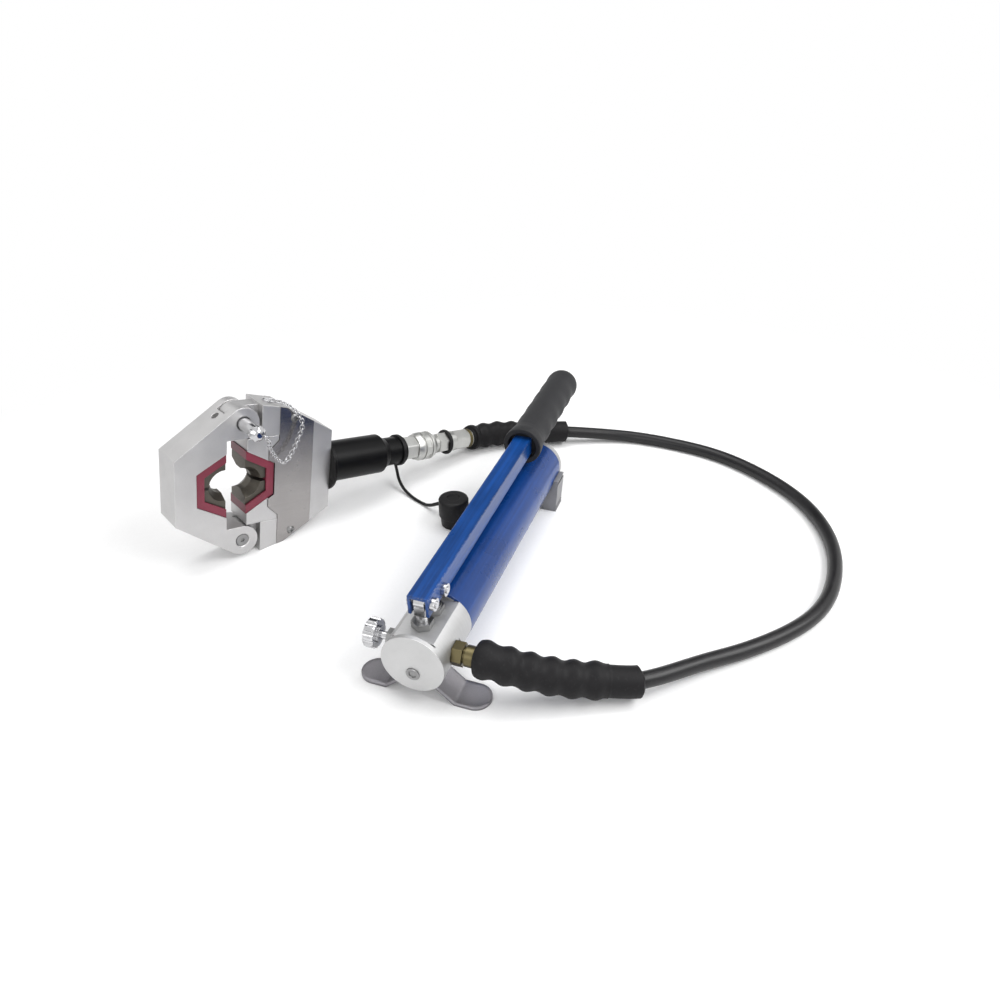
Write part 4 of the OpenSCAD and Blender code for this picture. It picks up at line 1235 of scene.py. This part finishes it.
@dataclass
class Studio:
    """A pale floor, soft light and the camera of the photograph."""

    eye: Point = (-228.0, -673.0, 389.0)
    azimuth: float = 42.0
    pitch: float = 32.3
    lens: float = 27.36
    floor_size: float = 8.0
    middle: Pair = (240.0, -210.0)
    fade: Pair = (420.0, 820.0)
    sky: float = 0.55
    card_place: Point = (1240, 910, 1000)
    card_size: Pair = (2600, 900)
    card_colour: Tone = (70, 72, 78)
    softboxes: tuple[tuple[str, Point, Point, float, float, float], ...] = (
        ("key", (750, -1150, 1050), (200, -200, -40), 1.1, 0.9, 18.0),
        ("top", (350, 100, 1500), (200, -200, -40), 1.6, 0.7, 12.0),
        ("fill", (-1000, -900, 700), (100, -200, -40), 0.9, 0.9, 6.0),
    )

    def camera(self) -> None:
        """Sets the camera."""
        data = bpy.data.cameras.new("camera")
        data.sensor_fit = "HORIZONTAL"
        data.sensor_width = 36.0
        data.lens = self.lens
        data.clip_start = 0.02
        made = linked("camera", data)
        turn = Matrix.Rotation(math.radians(-self.azimuth), 4, "Z")
        tip = Matrix.Rotation(math.radians(90 - self.pitch), 4, "X")
        made.matrix_world = Matrix.Translation(Vector(self.eye) * MM) @ turn @ tip
        bpy.context.scene.camera = made

    def light(self) -> None:
        """Sets the soft boxes and the pale surroundings."""
        for name, spot, aim, width, height, power in self.softboxes:
            data = bpy.data.lights.new(name, "AREA")
            data.shape = "RECTANGLE"
            data.size = width
            data.size_y = height
            data.energy = power
            made = linked(name, data)
            place = Vector(spot) * MM
            way = Vector(aim) * MM - place
            made.matrix_world = Matrix.Translation(place) @ way.to_track_quat("-Z", "Y").to_matrix().to_4x4()
        sky = Surface(bpy.data.worlds.new("studio"))
        white = srgb(255, 255, 255)
        lamp = sky.node("ShaderNodeBackground", sockets={"Color": white, "Strength": self.sky})
        shown = sky.node("ShaderNodeBackground", sockets={"Color": white, "Strength": 1.0})
        both = sky.node("ShaderNodeMixShader", sockets={0: sky.seen(), 1: lamp, 2: shown})
        bpy.context.scene.world = sky.output(both, "ShaderNodeOutputWorld")

    def card(self) -> None:
        """Stands a grey card that the camera doesn't see, for the glossy faces to mirror."""
        shape = Shape()
        bmesh.ops.create_grid(shape.mesh, x_segments=1, y_segments=1, size=0.5)
        aim = Vector((*self.middle, 0.0)) - Vector(self.card_place)
        turn = aim.to_track_quat("Z", "Y").to_matrix().to_4x4()
        place = Matrix.Translation(self.card_place) @ turn
        frame = Matrix.Scale(MM, 4) @ place @ Matrix.Diagonal((*self.card_size, 1, 1))
        made = shape.placed("back_card", frame)
        made.visible_camera = False
        surface = Surface(bpy.data.materials.new("back_card_cloth"))
        weave = surface.noise(0.3, 3.0)
        grey = srgb(*self.card_colour)
        tint = surface.mix(weave, toned(grey, 0.85), grey)
        cloth = surface.node("ShaderNodeBsdfPrincipled", sockets={"Base Color": tint, "Roughness": 0.95})
        made.data.materials.append(surface.output(cloth))

    def floor(self) -> None:
        """Lays the floor, which turns plain white away from the tool."""
        shape = Shape()
        bmesh.ops.create_grid(shape.mesh, x_segments=2, y_segments=2, size=self.floor_size / 2 / MM)
        made = shape.placed("floor", LAYOUT.floor(*self.middle))
        surface = Surface(bpy.data.materials.new("paper_floor"))
        fibre = surface.noise(0.4, 3.0)
        tint = surface.mix(fibre.between(0.2, 0.8), srgb(248, 248, 248), srgb(252, 252, 252))
        paper = surface.node("ShaderNodeBsdfPrincipled", sockets={"Base Color": tint, "Roughness": 0.9})
        glow = surface.node("ShaderNodeEmission", sockets={"Color": srgb(255, 255, 255), "Strength": 1.0})
        away = surface.node(
            "ShaderNodeVectorMath",
            {"operation": "DISTANCE"},
            {0: surface.place(), 1: (*self.middle, LAYOUT.ground)},
            output="Value",
        ).between(*self.fade)
        both = surface.node("ShaderNodeMixShader", sockets={0: away * surface.seen(), 1: paper, 2: glow})
        made.data.materials.append(surface.output(both))

    def build(self) -> None:
        """Sets the whole studio."""
        self.camera()
        self.light()
        self.floor()
        self.card()
        bpy.context.scene.view_settings.view_transform = "Standard"
        LOG.info("studio ready")


def main() -> None:
    """Builds the studio and every sub-assembly in order."""
    logging.basicConfig(level=logging.INFO, format="%(name)s: %(message)s")
    shop = Workshop(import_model())
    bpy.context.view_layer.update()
    Studio().build()
    for part in (Hose(), DustCap(), CrimpHead(), RamCylinder(), Coupler(), HandPump(), Lever()):
        part.build(shop)
        LOG.info("%s done", type(part).__name__)


if __name__ == "__main__":
    main()
